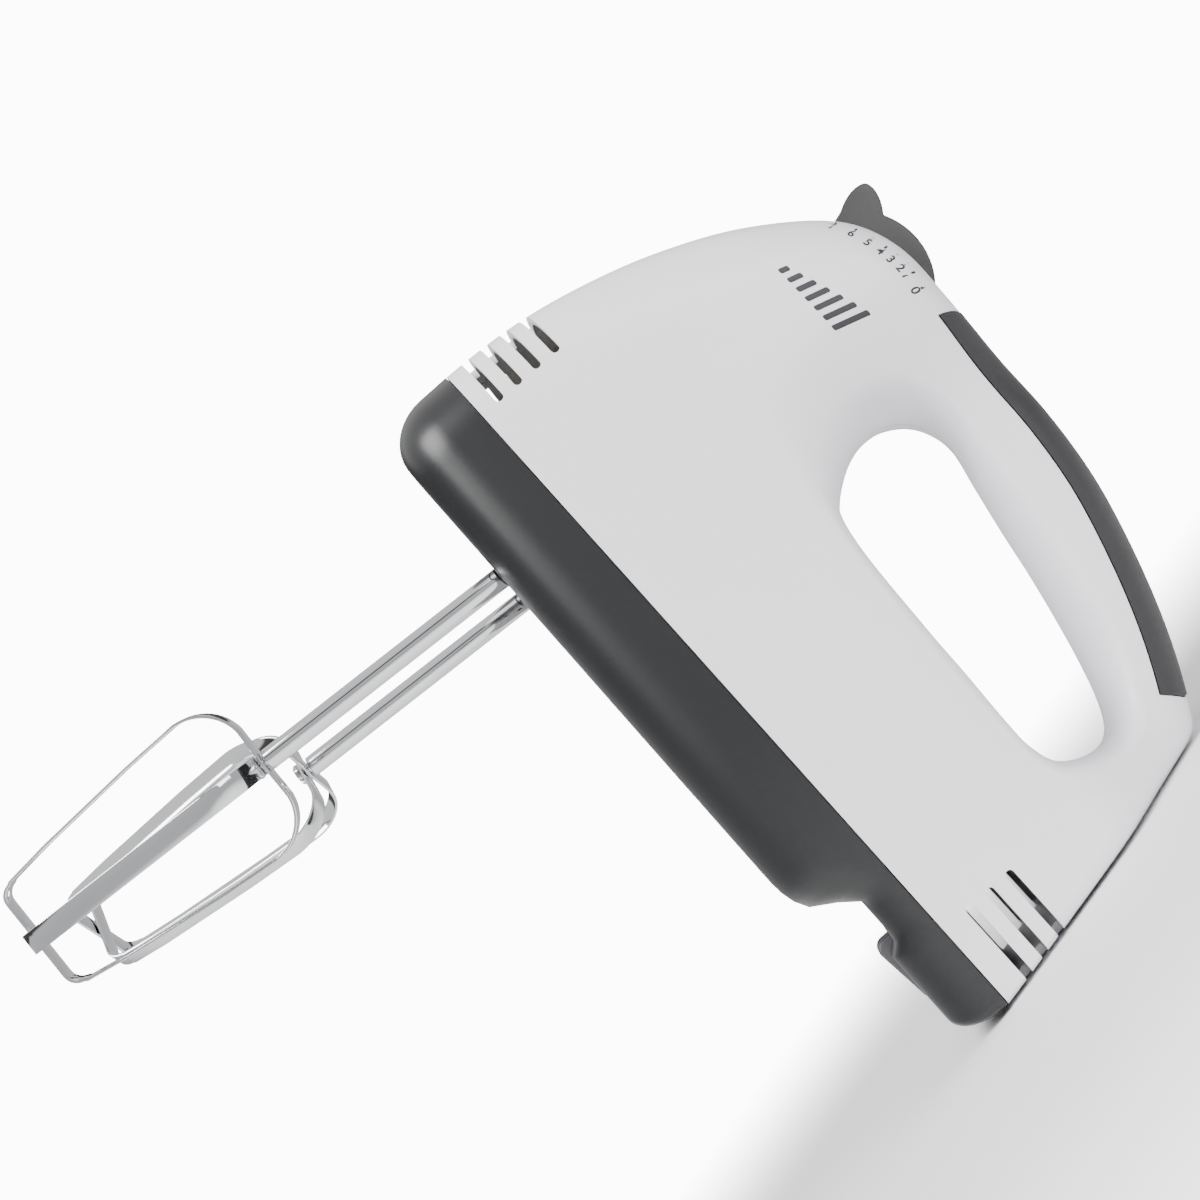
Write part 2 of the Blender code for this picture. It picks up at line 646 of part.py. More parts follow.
def make_grip(root, finish):
    """The dark strip on the handle: the handle's own surface, a little proud, cut off along its lower edge."""
    part = add_part("handle_grip", casing_skin(44, 4, 2, -GRIP_PROUD), finish, root)
    combine(part, add_cutter("grip_hollow", casing_skin(44, 4, 2, WALL + GAP), root))
    extent = slab(grip_outline(0.0), [], -BODY_WIDTH, BODY_WIDTH, 'Y')
    combine(part, add_cutter("grip_extent", extent, root), 'INTERSECT')
    return part


def make_grip_space(root):
    """The space of the grip and its clearance, cut out of the casing."""
    return add_cutter("grip_space", slab(grip_outline(GAP), [], -BODY_WIDTH, BODY_WIDTH, 'Y'), root)


def make_base_cover(root, drive, finish):
    """The dark base: a deep tub in front and a shallow heel, with posts for the frame's screws."""
    part = add_part("base_cover", base_form(24, 3), finish, root)
    combine(part, add_cutter("base_hollow", base_form(24, 3, WALL), root))
    posts = []
    holes = []
    for x, y, top in BASE_SCREWS:
        floor = x * math.tan(math.radians(DRIVE_LEAN))
        radius = SCREW_HEAD_RADIUS + GAP + WELL_WALL
        posts.append(rod(radius, floor + WALL * 0.5, top - GAP, 12, 'Z', (x, y, 0.0)))
        holes.append(base_screw_space(x, y, floor))
    combine(part, add_cutter("base_posts", gather(posts), drive), 'UNION')
    combine(part, add_cutter("base_screw_spaces", gather(holes), drive))
    openings = []
    for side in (-1.0, 1.0):
        centre = (0.0, side * SPINDLE_SPACING / 2.0, 0.0)
        openings.append(rod(SHAFT_RADIUS + SHAFT_HOLE_CLEARANCE, -6.0, WALL + 3.0, 20, 'Z', centre))
    combine(part, add_cutter("shaft_openings", gather(openings), drive))
    gland_space = block((along(GLAND_FROM) - GAP, -GLAND_WIDTH / 2.0 - GAP, HEEL_FLOOR - 20.0),
                        (along(GLAND_TO) + GAP, GLAND_WIDTH / 2.0 + GAP, HEEL_FLOOR + WALL + 2.0))
    combine(part, add_cutter("gland_space", gland_space, root))
    return part


def base_screw_space(x, y, floor):
    """A through hole with a wide mouth for the head, from the underside up."""
    profile = [
        (0.0, floor - 8.0),
        (SCREW_HEAD_RADIUS + GAP, floor - 8.0),
        (SCREW_HEAD_RADIUS + GAP, floor + BASE_SEAT),
        (SCREW_RADIUS + GAP, floor + BASE_SEAT),
        (SCREW_RADIUS + GAP, floor + 20.0),
        (0.0, floor + 20.0),
    ]
    return turned(profile, 12, 'Z', (x, y, 0.0))


def make_gland(root, finish):
    """The grey lug under the heel, with the blind bore that the mains cord comes out of."""
    front = along(GLAND_FROM)
    rear = along(GLAND_TO)
    corner = GLAND_CORNER
    arc = []
    for i in range(5):
        turn = math.pi + math.pi / 2.0 * i / 4.0
        arc.append((front + corner + corner * math.cos(turn), GLAND_LOW + corner + corner * math.sin(turn)))
    top = HEEL_FLOOR + WALL + 1.5
    outline = [(front, top), *arc, (rear, GLAND_LOW + GLAND_RISE), (rear, top)]
    part = add_part("cord_gland", slab(outline, [], -GLAND_WIDTH / 2.0, GLAND_WIDTH / 2.0, 'Y'), finish, root)
    middle = (GLAND_LOW + HEEL_FLOOR + WALL) / 2.0 + 0.3
    bore = rod(GLAND_BORE, -4.0, GLAND_BORE_DEPTH, 16, 'X', (front, 0.0, middle))
    combine(part, add_cutter("gland_bore", bore, root))
    return part


# Speed slider and ejector -------------------------------------------------------------------------

def slider_outline():
    """The slider in side view about its pivot: the drum's arc, the fin, the skirt, and back around the hub."""
    def polar(radius, degrees):
        turn = math.radians(degrees)
        return (radius * math.cos(turn), radius * math.sin(turn))

    points = []
    first = FIN_ANGLE - FIN_HALF_ANGLE
    for i in range(8):
        points.append(polar(DRUM_RADIUS, DRUM_FROM + (first - DRUM_FROM) * i / 8.0))
    for i in range(15):
        share = i / 7.0 - 1.0
        points.append(polar(DRUM_RADIUS + FIN_HEIGHT * (1.0 - abs(share) ** FIN_FULLNESS),
                            FIN_ANGLE + FIN_HALF_ANGLE * share))
    points.append(polar(TOE_RADIUS, TOE_ANGLE))
    for i in range(7):
        points.append(polar(SKIRT_RADIUS, SKIRT_FROM + (DRUM_TO - SKIRT_FROM) * i / 6.0))
    for i in range(7):
        points.append(polar(HUB_RADIUS, DRUM_TO + (360.0 + DRUM_FROM - DRUM_TO) * i / 6.0))
    return points


def make_slider(carrier, finish):
    """The drum and its fin, turning on the slider pin."""
    bore = circle(SLIDER_PIN_RADIUS + GAP, 16)
    bm = slab(slider_outline(), [bore], -DRUM_WIDTH / 2.0, DRUM_WIDTH / 2.0, 'Y')
    return add_part("speed_slider", bm, finish, carrier)


def slider_in_drive():
    """The slider's pivot in the drive's own frame."""
    lean = math.radians(DRIVE_LEAN)
    dx = SLIDER_X - SPINDLE_X
    dz = rise(SLIDER_Z)
    return dx * math.cos(lean) - dz * math.sin(lean), dx * math.sin(lean) + dz * math.cos(lean)


def make_ejector(drive, finishes):
    """The ejector plate: two legs that reach into the spindles, a bridge, and two ears with the slider pin."""
    pivot_x, pivot_z = slider_in_drive()
    half = SPINDLE_SPACING / 2.0
    leg = LEG_HALF
    leg_end = SHAFT_TOP + EJECT_TRAVEL + 0.4
    bridge_low = SPINDLE_TOP + EJECT_TRAVEL + BRIDGE_ROOM
    bridge_high = bridge_low + PLATE_HEIGHT
    legs = [
        (-half - leg, leg_end), (-half + leg, leg_end), (-half + leg, bridge_low),
        (half - leg, bridge_low), (half - leg, leg_end), (half + leg, leg_end),
        (half + leg, bridge_high), (-half - leg, bridge_high),
    ]
    part = add_part("ejector_plate", slab(legs, [], -leg, leg, 'X'), finishes['nylon'], drive)
    ear_in = DRUM_WIDTH / 2.0 + SLIDER_CLEARANCE + EAR_ROOM
    ear_out = ear_in + EAR_THICK
    ears = [
        (-ear_out, bridge_low + 0.5), (ear_out, bridge_low + 0.5), (ear_out, pivot_z + EAR_TOP),
        (ear_in, pivot_z + EAR_TOP), (ear_in, bridge_high), (-ear_in, bridge_high),
        (-ear_in, pivot_z + EAR_TOP), (-ear_out, pivot_z + EAR_TOP),
    ]
    fork = add_cutter("ejector_fork", slab(ears, [], pivot_x - 4.5, 2.4, 'X'), drive)
    combine(part, fork, 'UNION')
    hole = rod(SLIDER_PIN_RADIUS + GAP, -20.0, 20.0, 16, 'Y', (pivot_x, 0.0, pivot_z))
    combine(part, add_cutter("ejector_pin_hole", hole, drive))
    pin = rod(SLIDER_PIN_RADIUS, -ear_out, ear_out, 16, 'Y', (pivot_x, 0.0, pivot_z))
    add_part("slider_pin", pin, finishes['steel'], drive)
    make_spring(drive, finishes['steel'], BRIDGE_HIGH + GAP, bridge_low - GAP)
    return part


def make_spring(drive, finish, low, high):
    """The coil that pushes the ejector plate back up: a wire swept along a helix."""
    wire = SPRING_WIRE
    coil = SPRING_COIL
    turns = SPRING_TURNS
    steps = 9 * turns
    sides = 5
    bm = bmesh.new()
    rings = []
    run = high - low - 2.0 * wire
    for i in range(steps + 1):
        turn = 2.0 * math.pi * turns * i / steps
        centre = Vector((coil * math.cos(turn), coil * math.sin(turn), low + wire + run * i / steps))
        outward = Vector((math.cos(turn), math.sin(turn), 0.0))
        verts = []
        for k in range(sides):
            angle = 2.0 * math.pi * k / sides
            offset = outward * math.cos(angle) * wire + Vector((0.0, 0.0, math.sin(angle) * wire))
            verts.append(bm.verts.new(centre + offset))
        rings.append(verts)
    for first, second in zip(rings, rings[1:]):
        for k in range(sides):
            bm.faces.new((first[k], first[(k + 1) % sides], second[(k + 1) % sides], second[k]))
    bm.faces.new(rings[0])
    bm.faces.new(rings[-1])
    return add_part("ejector_spring", bm, finish, drive)


# Drive --------------------------------------------------------------------------------------------

def wheel_teeth():
    """The whole number of teeth nearest to the nominal module."""
    return round(2.0 * wheel_pitch_radius() / WHEEL_MODULE)


def wheel_pitch_radius():
    """The wheels mesh with the worm between them."""
    return SPINDLE_SPACING / 2.0 - WORM_PITCH_RADIUS


def worm_lead():
    """The worm has one start, so its lead is the wheel's pitch."""
    return 2.0 * math.pi * wheel_pitch_radius() / wheel_teeth()


def make_wheel(name, drive, finish, y, first_tooth):
    """A worm wheel with straight teeth and generous backlash."""
    teeth = wheel_teeth()
    pitch = wheel_pitch_radius()
    outline = []
    for i in range(teeth):
        middle = first_tooth + 2.0 * math.pi * i / teeth
        step = math.pi / teeth
        for radius, share in ((pitch - TOOTH_DEDENDUM, -0.42), (pitch + TOOTH_ADDENDUM, -0.2),
                              (pitch + TOOTH_ADDENDUM, 0.2), (pitch - TOOTH_DEDENDUM, 0.42)):
            turn = middle + share * step
            outline.append((radius * math.cos(turn), radius * math.sin(turn)))
    bore = circle(spindle_radius() + GAP, 20)
    bm = slab(outline, [bore], MOTOR_AXIS - WHEEL_WIDTH / 2.0, MOTOR_AXIS + WHEEL_WIDTH / 2.0)
    return add_part(name, bm, finish, drive, (0.0, y, 0.0))


def spindle_radius():
    """The spindle's outside: the beater's shaft, its clearance and the spindle's wall."""
    return SHAFT_RADIUS + GAP + SPINDLE_WALL


def front_wall():
    """Where the gear frame's front wall begins, clear of the wheels' teeth."""
    return -(wheel_pitch_radius() + TOOTH_ADDENDUM + FRONT_WALL_ROOM + FRONT_WALL_THICK)


def worm_radius(x, turn):
    """The worm's surface: a thread with sloped flanks that runs around the shaft once per lead."""
    phase = (x / worm_lead() - turn / (2.0 * math.pi) + 0.5) % 1.0 - 0.5
    height = 1.0 - min(1.0, max(0.0, (abs(phase) - 0.1) / 0.13))
    root = WORM_PITCH_RADIUS - TOOTH_DEDENDUM
    return root + (TOOTH_ADDENDUM + TOOTH_DEDENDUM) * height


def make_armature_shaft(spinner, finish):
    """The motor shaft with the worm cut on it, from the front bearing to the rear one."""
    lead = worm_lead()
    worm_steps = round(2.0 * WORM_HALF / lead * 5.0)
    stations = [(front_wall() - 1.0, None), (-WORM_HALF - 0.6, None)]
    for i in range(worm_steps + 1):
        stations.append((-WORM_HALF + 2.0 * WORM_HALF * i / worm_steps, 'worm'))
    stations += [(WORM_HALF + 0.6, None), (BRACKET_TO + 6.0, None)]
    sides = 12
    bm = bmesh.new()
    rings = []
    for x, kind in stations:
        verts = []
        for k in range(sides):
            turn = 2.0 * math.pi * k / sides
            radius = worm_radius(x, turn) if kind else MOTOR_SHAFT_RADIUS
            verts.append(bm.verts.new((x, radius * math.cos(turn), radius * math.sin(turn))))
        rings.append(verts)
    for first, second in zip(rings, rings[1:]):
        for k in range(sides):
            bm.faces.new((first[k], first[(k + 1) % sides], second[(k + 1) % sides], second[k]))
    bm.faces.new(rings[0])
    bm.faces.new(rings[-1])
    return add_part("armature_shaft", bm, finish, spinner)


def star(teeth, root, tip, root_share, tip_share):
    """A star outline with blunt points, for a fan or a slotted core."""
    outline = []
    for i in range(teeth):
        middle = 2.0 * math.pi * i / teeth
        step = math.pi / teeth
        for radius, share in ((root, -root_share), (tip, -tip_share), (tip, tip_share), (root, root_share)):
            turn = middle + share * step
            outline.append((radius * math.cos(turn), radius * math.sin(turn)))
    return outline


def make_armature(spinner, finishes):
    """What turns with the motor: the shaft, the slotted core, its windings, the commutator and the fan."""
    make_armature_shaft(spinner, finishes['steel'])
    seat = MOTOR_SHAFT_RADIUS + GAP
    bore = circle(seat, 12)
    core = slab(star(ARMATURE_TEETH, 9.0, ARMATURE_RADIUS, 0.45, 0.8), [bore], STACK_FROM, STACK_TO, 'X')
    add_part("armature_core", core, finishes['lamination'], spinner)
    for name, low, high in (("armature_winding_front", STACK_FROM - WINDING_LENGTH, STACK_FROM - GAP),
                            ("armature_winding_rear", STACK_TO + GAP, STACK_TO + WINDING_LENGTH)):
        add_part(name, ring(seat + 1.0, ARMATURE_RADIUS - 1.2, low, high, 16, 'X'), finishes['copper'], spinner)
    bars = star(ARMATURE_TEETH, COMMUTATOR_RADIUS - 0.5, COMMUTATOR_RADIUS, 0.92, 0.85)
    commutator = slab(bars, [bore], COMMUTATOR_FROM, COMMUTATOR_TO, 'X')
    add_part("commutator", commutator, finishes['copper'], spinner)
    fan = slab(star(9, 5.0, FAN_RADIUS, 0.55, 0.16), [circle(seat, 12)], FAN_FROM, FAN_TO, 'X')
    add_part("cooling_fan", fan, finishes['nylon'], spinner)


def make_stator(drive, finishes):
    """The laminated stator with a window for each coil side, and the two field coils around its poles."""
    holes = [circle(STATOR_BORE, 28, (0.0, MOTOR_AXIS))]
    for side in (-1.0, 1.0):
        for up in (-1.0, 1.0):
            ys = sorted((side * (COIL_IN - GAP), side * (COIL_OUT + GAP)))
            zs = sorted((MOTOR_AXIS + up * (WINDOW_LOW - GAP), MOTOR_AXIS + up * (WINDOW_HIGH + GAP)))
            holes.append(rectangle(ys[0], zs[0], ys[1], zs[1]))
    outline = rectangle(-STATOR_HALF_WIDTH, MOTOR_AXIS - STATOR_HALF_HEIGHT,
                        STATOR_HALF_WIDTH, MOTOR_AXIS + STATOR_HALF_HEIGHT)
    add_part("stator_core", slab(outline, holes, STACK_FROM, STACK_TO, 'X'), finishes['lamination'], drive)
    for name, side in (("field_coil_left", -1.0), ("field_coil_right", 1.0)):
        outer = rectangle(STACK_FROM - COIL_OVERHANG, MOTOR_AXIS - WINDOW_HIGH,
                          STACK_TO + COIL_OVERHANG, MOTOR_AXIS + WINDOW_HIGH)
        inner = rectangle(STACK_FROM - GAP, MOTOR_AXIS - WINDOW_LOW, STACK_TO + GAP, MOTOR_AXIS + WINDOW_LOW)
        ys = sorted((side * COIL_IN, side * COIL_OUT))
        add_part(name, slab(outer, [inner], ys[0], ys[1], 'Y'), finishes['copper'], drive)


def make_brushes(drive, finishes):
    """A carbon brush on each side of the commutator, in its brass holder."""
    middle = (COMMUTATOR_FROM + COMMUTATOR_TO) / 2.0
    for name, side in (("left", -1.0), ("right", 1.0)):
        ys = sorted((side * (COMMUTATOR_RADIUS + GAP), side * (COMMUTATOR_RADIUS + 9.0)))
        brush = rectangle(middle - 2.4, MOTOR_AXIS - 2.0, middle + 2.4, MOTOR_AXIS + 2.0)
        add_part("brush_" + name, slab(brush, [], ys[0], ys[1], 'Y'), finishes['carbon'], drive)
        outer = rectangle(middle - 3.7, MOTOR_AXIS - 3.3, middle + 3.7, MOTOR_AXIS + 3.3)
        inner = rectangle(middle - 2.7, MOTOR_AXIS - 2.3, middle + 2.7, MOTOR_AXIS + 2.3)
        ys = sorted((side * (COMMUTATOR_RADIUS + 2.0), side * (COMMUTATOR_RADIUS + 14.0)))
        add_part("brush_holder_" + name, slab(outer, [inner], ys[0], ys[1], 'Y'), finishes['brass'], drive)


def make_frames(drive, finishes):
    """The gear frame with its front wall, the spindle bridge, the motor bracket and the two bearings."""
    wall = front_wall()
    profile = [
        (wall, FRAME_LOW), (19.0, FRAME_LOW), (19.0, FRAME_HIGH), (wall + FRONT_WALL_THICK, FRAME_HIGH),
        (wall + FRONT_WALL_THICK, MOTOR_AXIS + 9.0), (wall, MOTOR_AXIS + 9.0),
    ]
    half = SPINDLE_SPACING / 2.0 + spindle_radius() + 3.5
    frame = add_part("gear_frame", slab(profile, [], -half, half, 'Y'), finishes['nylon'], drive)
    holes = [rod(BEARING_RADIUS + GAP, wall - 5.0, wall + 8.0, 16, 'X', (0.0, 0.0, MOTOR_AXIS))]
    for side in (-1.0, 1.0):
        holes.append(rod(spindle_radius() + GAP, 5.0, 20.0, 16, 'Z', (0.0, side * SPINDLE_SPACING / 2.0, 0.0)))
    for x, y, _ in BASE_SCREWS[:2]:
        holes.append(rod(SCREW_RADIUS + GAP, 5.0, 20.0, 10, 'Z', (x, y, 0.0)))
    combine(frame, add_cutter("gear_frame_holes", gather(holes), drive))
    bore = MOTOR_SHAFT_RADIUS + GAP
    front = ring(bore, BEARING_RADIUS, wall - 0.5, wall + FRONT_WALL_THICK + 1.0, 16, 'X',
                 (0.0, 0.0, MOTOR_AXIS))
    add_part("front_bearing", front, finishes['brass'], drive)
    half = SPINDLE_SPACING / 2.0
    spindle_holes = [circle(spindle_radius() + GAP, 16, (0.0, y)) for y in (-half, half)]
    bridge_half = SPINDLE_SPACING / 2.0 + spindle_radius() + 2.5
    bridge = slab(rectangle(-8.5, -bridge_half, 8.5, bridge_half), spindle_holes, BRIDGE_LOW, BRIDGE_HIGH)
    add_part("spindle_bridge", bridge, finishes['steel'], drive)
    foot = [
        (FOOT_FROM, FOOT_LOW), (BRACKET_TO, FOOT_LOW), (BRACKET_TO, MOTOR_AXIS + 13.0),
        (BRACKET_FROM, MOTOR_AXIS + 13.0), (BRACKET_FROM, FOOT_HIGH), (FOOT_FROM, FOOT_HIGH),
    ]
    plate = slab(foot, [], -BRACKET_HALF_WIDTH, BRACKET_HALF_WIDTH, 'Y')
    bracket = add_part("motor_bracket", plate, finishes['steel'], drive)
    holes = [rod(BEARING_RADIUS + GAP, BRACKET_FROM - 5.0, BRACKET_TO + 5.0, 16, 'X', (0.0, 0.0, MOTOR_AXIS))]
    for x, y, _ in BASE_SCREWS[2:]:
        holes.append(rod(SCREW_RADIUS + GAP, 5.0, 22.0, 10, 'Z', (x, y, 0.0)))
    for side in (-1.0, 1.0):
        centre = (0.0, side * MOTOR_SCREW_Y, MOTOR_AXIS - MOTOR_SCREW_Z)
        holes.append(rod(SCREW_RADIUS + GAP, BRACKET_FROM - 3.0, BRACKET_TO + 3.0, 10, 'X', centre))
    combine(bracket, add_cutter("motor_bracket_holes", gather(holes), drive))
    rear = ring(bore, BEARING_RADIUS, BRACKET_FROM - 1.0, BRACKET_TO + 4.0, 16, 'X', (0.0, 0.0, MOTOR_AXIS))
    add_part("rear_bearing", rear, finishes['brass'], drive)


def make_spindles(drive, finishes):
    """The two spindles that the beaters plug into, each with its worm wheel and washer."""
    spinners = {}
    half_pitch = math.pi / wheel_teeth()
    for name, side, first_tooth in (("left", -1.0, math.pi / 2.0), ("right", 1.0, -math.pi / 2.0 + half_pitch)):
        spinner = bpy.data.objects.new("spindle_axis_" + name, None)
        bpy.context.scene.collection.objects.link(spinner)
        spinner.parent = drive
        spinner.location = Vector((0.0, side * SPINDLE_SPACING / 2.0, 0.0)) * MM
        spinners[name] = spinner
        tube = ring(SHAFT_RADIUS + GAP, spindle_radius(), SPINDLE_BOTTOM, SPINDLE_TOP, 20)
        add_part("spindle_" + name, tube, finishes['steel'], spinner)
        make_wheel("worm_wheel_" + name, spinner, finishes['nylon'], 0.0, first_tooth)
        low = MOTOR_AXIS + WHEEL_WIDTH / 2.0 + GAP
        washer = ring(spindle_radius() + GAP, spindle_radius() + 2.6, low, low + 1.0, 20)
        add_part("spindle_washer_" + name, washer, finishes['steel'], spinner)
    return spinners


# Beaters ------------------------------------------------------------------------------------------

def head_path(inset):
    """One strip's path in its own plane, from its middle on top, around one side, to its middle below."""
    top = -CROSSING_DROP - inset
    bottom = -CROSSING_DROP - HEAD_LENGTH + inset
    widest = HEAD_RADIUS - inset
    tip = HEAD_TIP_RADIUS - inset
    shoulder = SHOULDER
    points = [(0.0, top), (widest * 0.3, top + 0.2)]
    for i in range(1, 7):
        turn = math.pi / 2.0 * i / 6.0
        points.append((widest * (0.42 + 0.58 * math.sin(turn)), top + 0.3 - shoulder * (1.0 - math.cos(turn))))
    corner = STRIP_CORNER
    slope = (widest - tip) / (top - shoulder - bottom)
    points.append((widest - slope * 20.0 + 0.5, top - shoulder - 20.0))
    points.append((tip + slope * corner, bottom + corner))
    for i in range(1, 4):
        turn = math.pi / 2.0 * i / 3.0
        points.append((tip - corner * (1.0 - math.cos(turn)), bottom + corner * (1.0 - math.sin(turn))))
    points.append((0.0, bottom))
    return points


def make_strip(name, carrier, finish, inset, turn):
    """A flat steel strip bent into a closed loop: two opposite blades of a beater."""
    side = head_path(inset)
    loop = side + [(-x, z) for x, z in side[-2:0:-1]]
    count = len(loop)
    inner_loop = []
    for i in range(count):
        before = Vector(loop[i - 1])
        after = Vector(loop[(i + 1) % count])
        heading = (after - before).normalized()
        inner_loop.append(Vector(loop[i]) + Vector((heading.y, -heading.x)) * STRIP_THICK)
    bm = slab(loop, [[tuple(p) for p in inner_loop]], -STRIP_WIDTH / 2.0, STRIP_WIDTH / 2.0, 'Y')
    bmesh.ops.rotate(bm, matrix=Matrix.Rotation(turn, 3, 'Z'), verts=bm.verts)
    part = add_part(name, bm, finish, carrier)
    hole = rod(TENON_RADIUS + GAP, -CROSSING_DROP - 6.0, -CROSSING_DROP + 4.0, 12)
    combine(part, add_cutter(name + "_hole", hole, carrier))
    return part


def make_beater(name, carrier, finishes, turn):
    """One beater: a shaft with a tenon, two crossed strips and the rivet that holds them."""
    low = -CROSSING_DROP + GAP + 0.5
    second = STRIP_THICK + GAP
    tenon_end = -CROSSING_DROP - second - STRIP_THICK - 1.4
    profile = [
        (0.0, tenon_end), (TENON_RADIUS, tenon_end), (TENON_RADIUS, low), (SHAFT_RADIUS, low),
        (SHAFT_RADIUS, SHAFT_TOP - 1.5), (SHAFT_RADIUS - 0.9, SHAFT_TOP), (0.0, SHAFT_TOP),
    ]
    add_part("beater_shaft_" + name, turned(profile, 16), finishes['chrome'], carrier)
    make_strip("outer_blades_" + name, carrier, finishes['chrome'], 0.0, turn)
    make_strip("inner_blades_" + name, carrier, finishes['chrome'], second, turn + math.pi / 2.0)
    top = -CROSSING_DROP - second - STRIP_THICK - GAP
    rivet = ring(TENON_RADIUS + GAP, TENON_RADIUS + 1.7, top - 1.1, top, 12)
    add_part("blade_rivet_" + name, rivet, finishes['chrome'], carrier)


# Electrical pieces and screws ---------------------------------------------------------------------

def make_electrics(drive, finishes):
    """The speed switch beside the drum, its contact leaf, and the capacitor behind the motor."""
    pivot_x, pivot_z = slider_in_drive()
    ear = DRUM_WIDTH / 2.0 + SLIDER_CLEARANCE + EAR_ROOM + EAR_THICK
    switch = block((pivot_x - 7.0, ear + GAP + 0.4, pivot_z - 12.0), (pivot_x + 9.0, ear + 7.4, pivot_z + 2.0))
    add_part("speed_switch", switch, finishes['black'], drive)
    beside = ear + 7.4 + GAP
    leaf = block((pivot_x - 5.0, beside, pivot_z - 10.0), (pivot_x + 7.0, beside + 1.0, pivot_z - 4.0))
    add_part("switch_contact", leaf, finishes['brass'], drive)
    capacitor = block((106.0, -8.0, 29.0), (122.0, 8.0, 41.0))
    add_part("suppression_capacitor", capacitor, finishes['black'], drive)


def screw(length, axis, centre, flip=1.0):
    """A pan-head screw whose head starts at the centre and whose shank runs along the axis."""
    head = SCREW_HEAD_HEIGHT
    profile = [
        (0.0, -head), (SCREW_HEAD_RADIUS * 0.8, -head), (SCREW_HEAD_RADIUS, -head * 0.5),
        (SCREW_HEAD_RADIUS, 0.0), (SCREW_RADIUS, 0.0), (SCREW_RADIUS, length - 1.0), (0.4, length),
        (0.0, length),
    ]
    profile = [(radius, flip * height) for radius, height in profile]
    return turned(profile, 10, axis, centre)


def make_screws(root, drive, finishes):
    """Case screws from the right half, base screws from below, and two long motor screws."""
    for index in range(len(CASE_SCREWS)):
        x, z = boss_place(index)
        bm = screw(SCREW_SEAT + SCREW_DEPTH - SCREW_PLAY, 'Y', (x, SCREW_SEAT + GAP, z), -1.0)
        add_part("case_screw_%d" % (index + 1), bm, finishes['steel'], root)
    for index, (x, y, top) in enumerate(BASE_SCREWS):
        floor = x * math.tan(math.radians(DRIVE_LEAN))
        bm = screw(top + BASE_SCREW_BITE - floor - BASE_SEAT, 'Z', (x, y, floor + BASE_SEAT - GAP))
        add_part("base_screw_%d" % (index + 1), bm, finishes['steel'], drive)
    for name, side in (("left", -1.0), ("right", 1.0)):
        centre = (BRACKET_TO + GAP, side * MOTOR_SCREW_Y, MOTOR_AXIS - MOTOR_SCREW_Z)
        bm = screw(BRACKET_TO - STACK_TO - 1.0, 'X', centre, -1.0)
        add_part("motor_screw_" + name, bm, finishes['steel'], drive)


# The whole mixer ----------------------------------------------------------------------------------

def add_empty(name, parent, place, turn=0.0):
    """An axis that pieces are parented to, turned about y."""
    empty = bpy.data.objects.new(name, None)
    bpy.context.scene.collection.objects.link(empty)
    empty.parent = parent
    empty.location = Vector(place) * MM
    empty.rotation_euler = (0.0, turn, 0.0)
    return empty


def stand_on_heel(root):
    """Turns the design frame so that the heel's face lies on the ground, and centres the outline over it."""
    slope = math.atan(HEEL_SLOPE)
    up = Vector((-math.cos(slope), 0.0, -math.sin(slope)))
    forward = Vector((math.sin(slope), 0.0, -math.cos(slope)))
    turn = Matrix((forward, up.cross(forward), up)).to_4x4()
    root.matrix_world = turn
    bpy.context.view_layer.update()
    depsgraph = bpy.context.evaluated_depsgraph_get()
    low = Vector((1e9, 1e9, 1e9))
    high = -low
    for part in bpy.context.scene.objects:
        if part.type != 'MESH' or part.hide_render:
            continue
        shape = part.evaluated_get(depsgraph)
        for vert in shape.data.vertices:
            place = shape.matrix_world @ vert.co
            low = Vector([min(a, b) for a, b in zip(low, place)])
            high = Vector([max(a, b) for a, b in zip(high, place)])
    root.matrix_world = Matrix.Translation((-(low.x + high.x) / 2.0, -(low.y + high.y) / 2.0, -low.z)) @ turn


def build():
    """Makes every piece."""
    for thing in list(bpy.data.objects):
        bpy.data.objects.remove(thing, do_unlink=True)
    finishes = make_finishes()
    root = add_empty("design_frame", None, (0.0, 0.0, 0.0))
    drive = add_empty("drive_frame", root, (SPINDLE_X, 0.0, 0.0), math.radians(DRIVE_LEAN))
    slot = make_slider_slot(root)
    grip_space = make_grip_space(root)
    make_housing("housing_left", -1.0, root, finishes['white'], slot, grip_space)
    make_housing("housing_right", 1.0, root, finishes['white'], slot, grip_space)
    make_grip(root, finishes['grip'])
    make_base_cover(root, drive, finishes['dark'])
    make_gland(root, finishes['gland'])
    slider_axis = add_empty("slider_axis", root, (SLIDER_X, 0.0, rise(SLIDER_Z)))
    make_slider(slider_axis, finishes['slider'])
    make_ejector(drive, finishes)
    motor_axis = add_empty("motor_axis", drive, (0.0, 0.0, MOTOR_AXIS))
    make_armature(motor_axis, finishes)
    make_stator(drive, finishes)
    make_brushes(drive, finishes)
    make_frames(drive, finishes)
    spinners = make_spindles(drive, finishes)
    make_beater("left", spinners["left"], finishes, math.radians(12.0))
    make_beater("right", spinners["right"], finishes, math.radians(57.0))
    make_electrics(drive, finishes)
    make_screws(root, drive, finishes)
    stand_on_heel(root)


build()
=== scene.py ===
"""Hand mixer: the fine pieces, finishes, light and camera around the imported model.

Sizes are in millimetres in the design frame, where x runs from the nose to the heel, y to the user's right
and z up from the underside. STAND turns a finished bmesh so that the mixer stands on its heel, in metres.
"""

import json
import math

import bmesh
import bpy
from mathutils import Matrix, Vector
from mathutils.bvhtree import BVHTree


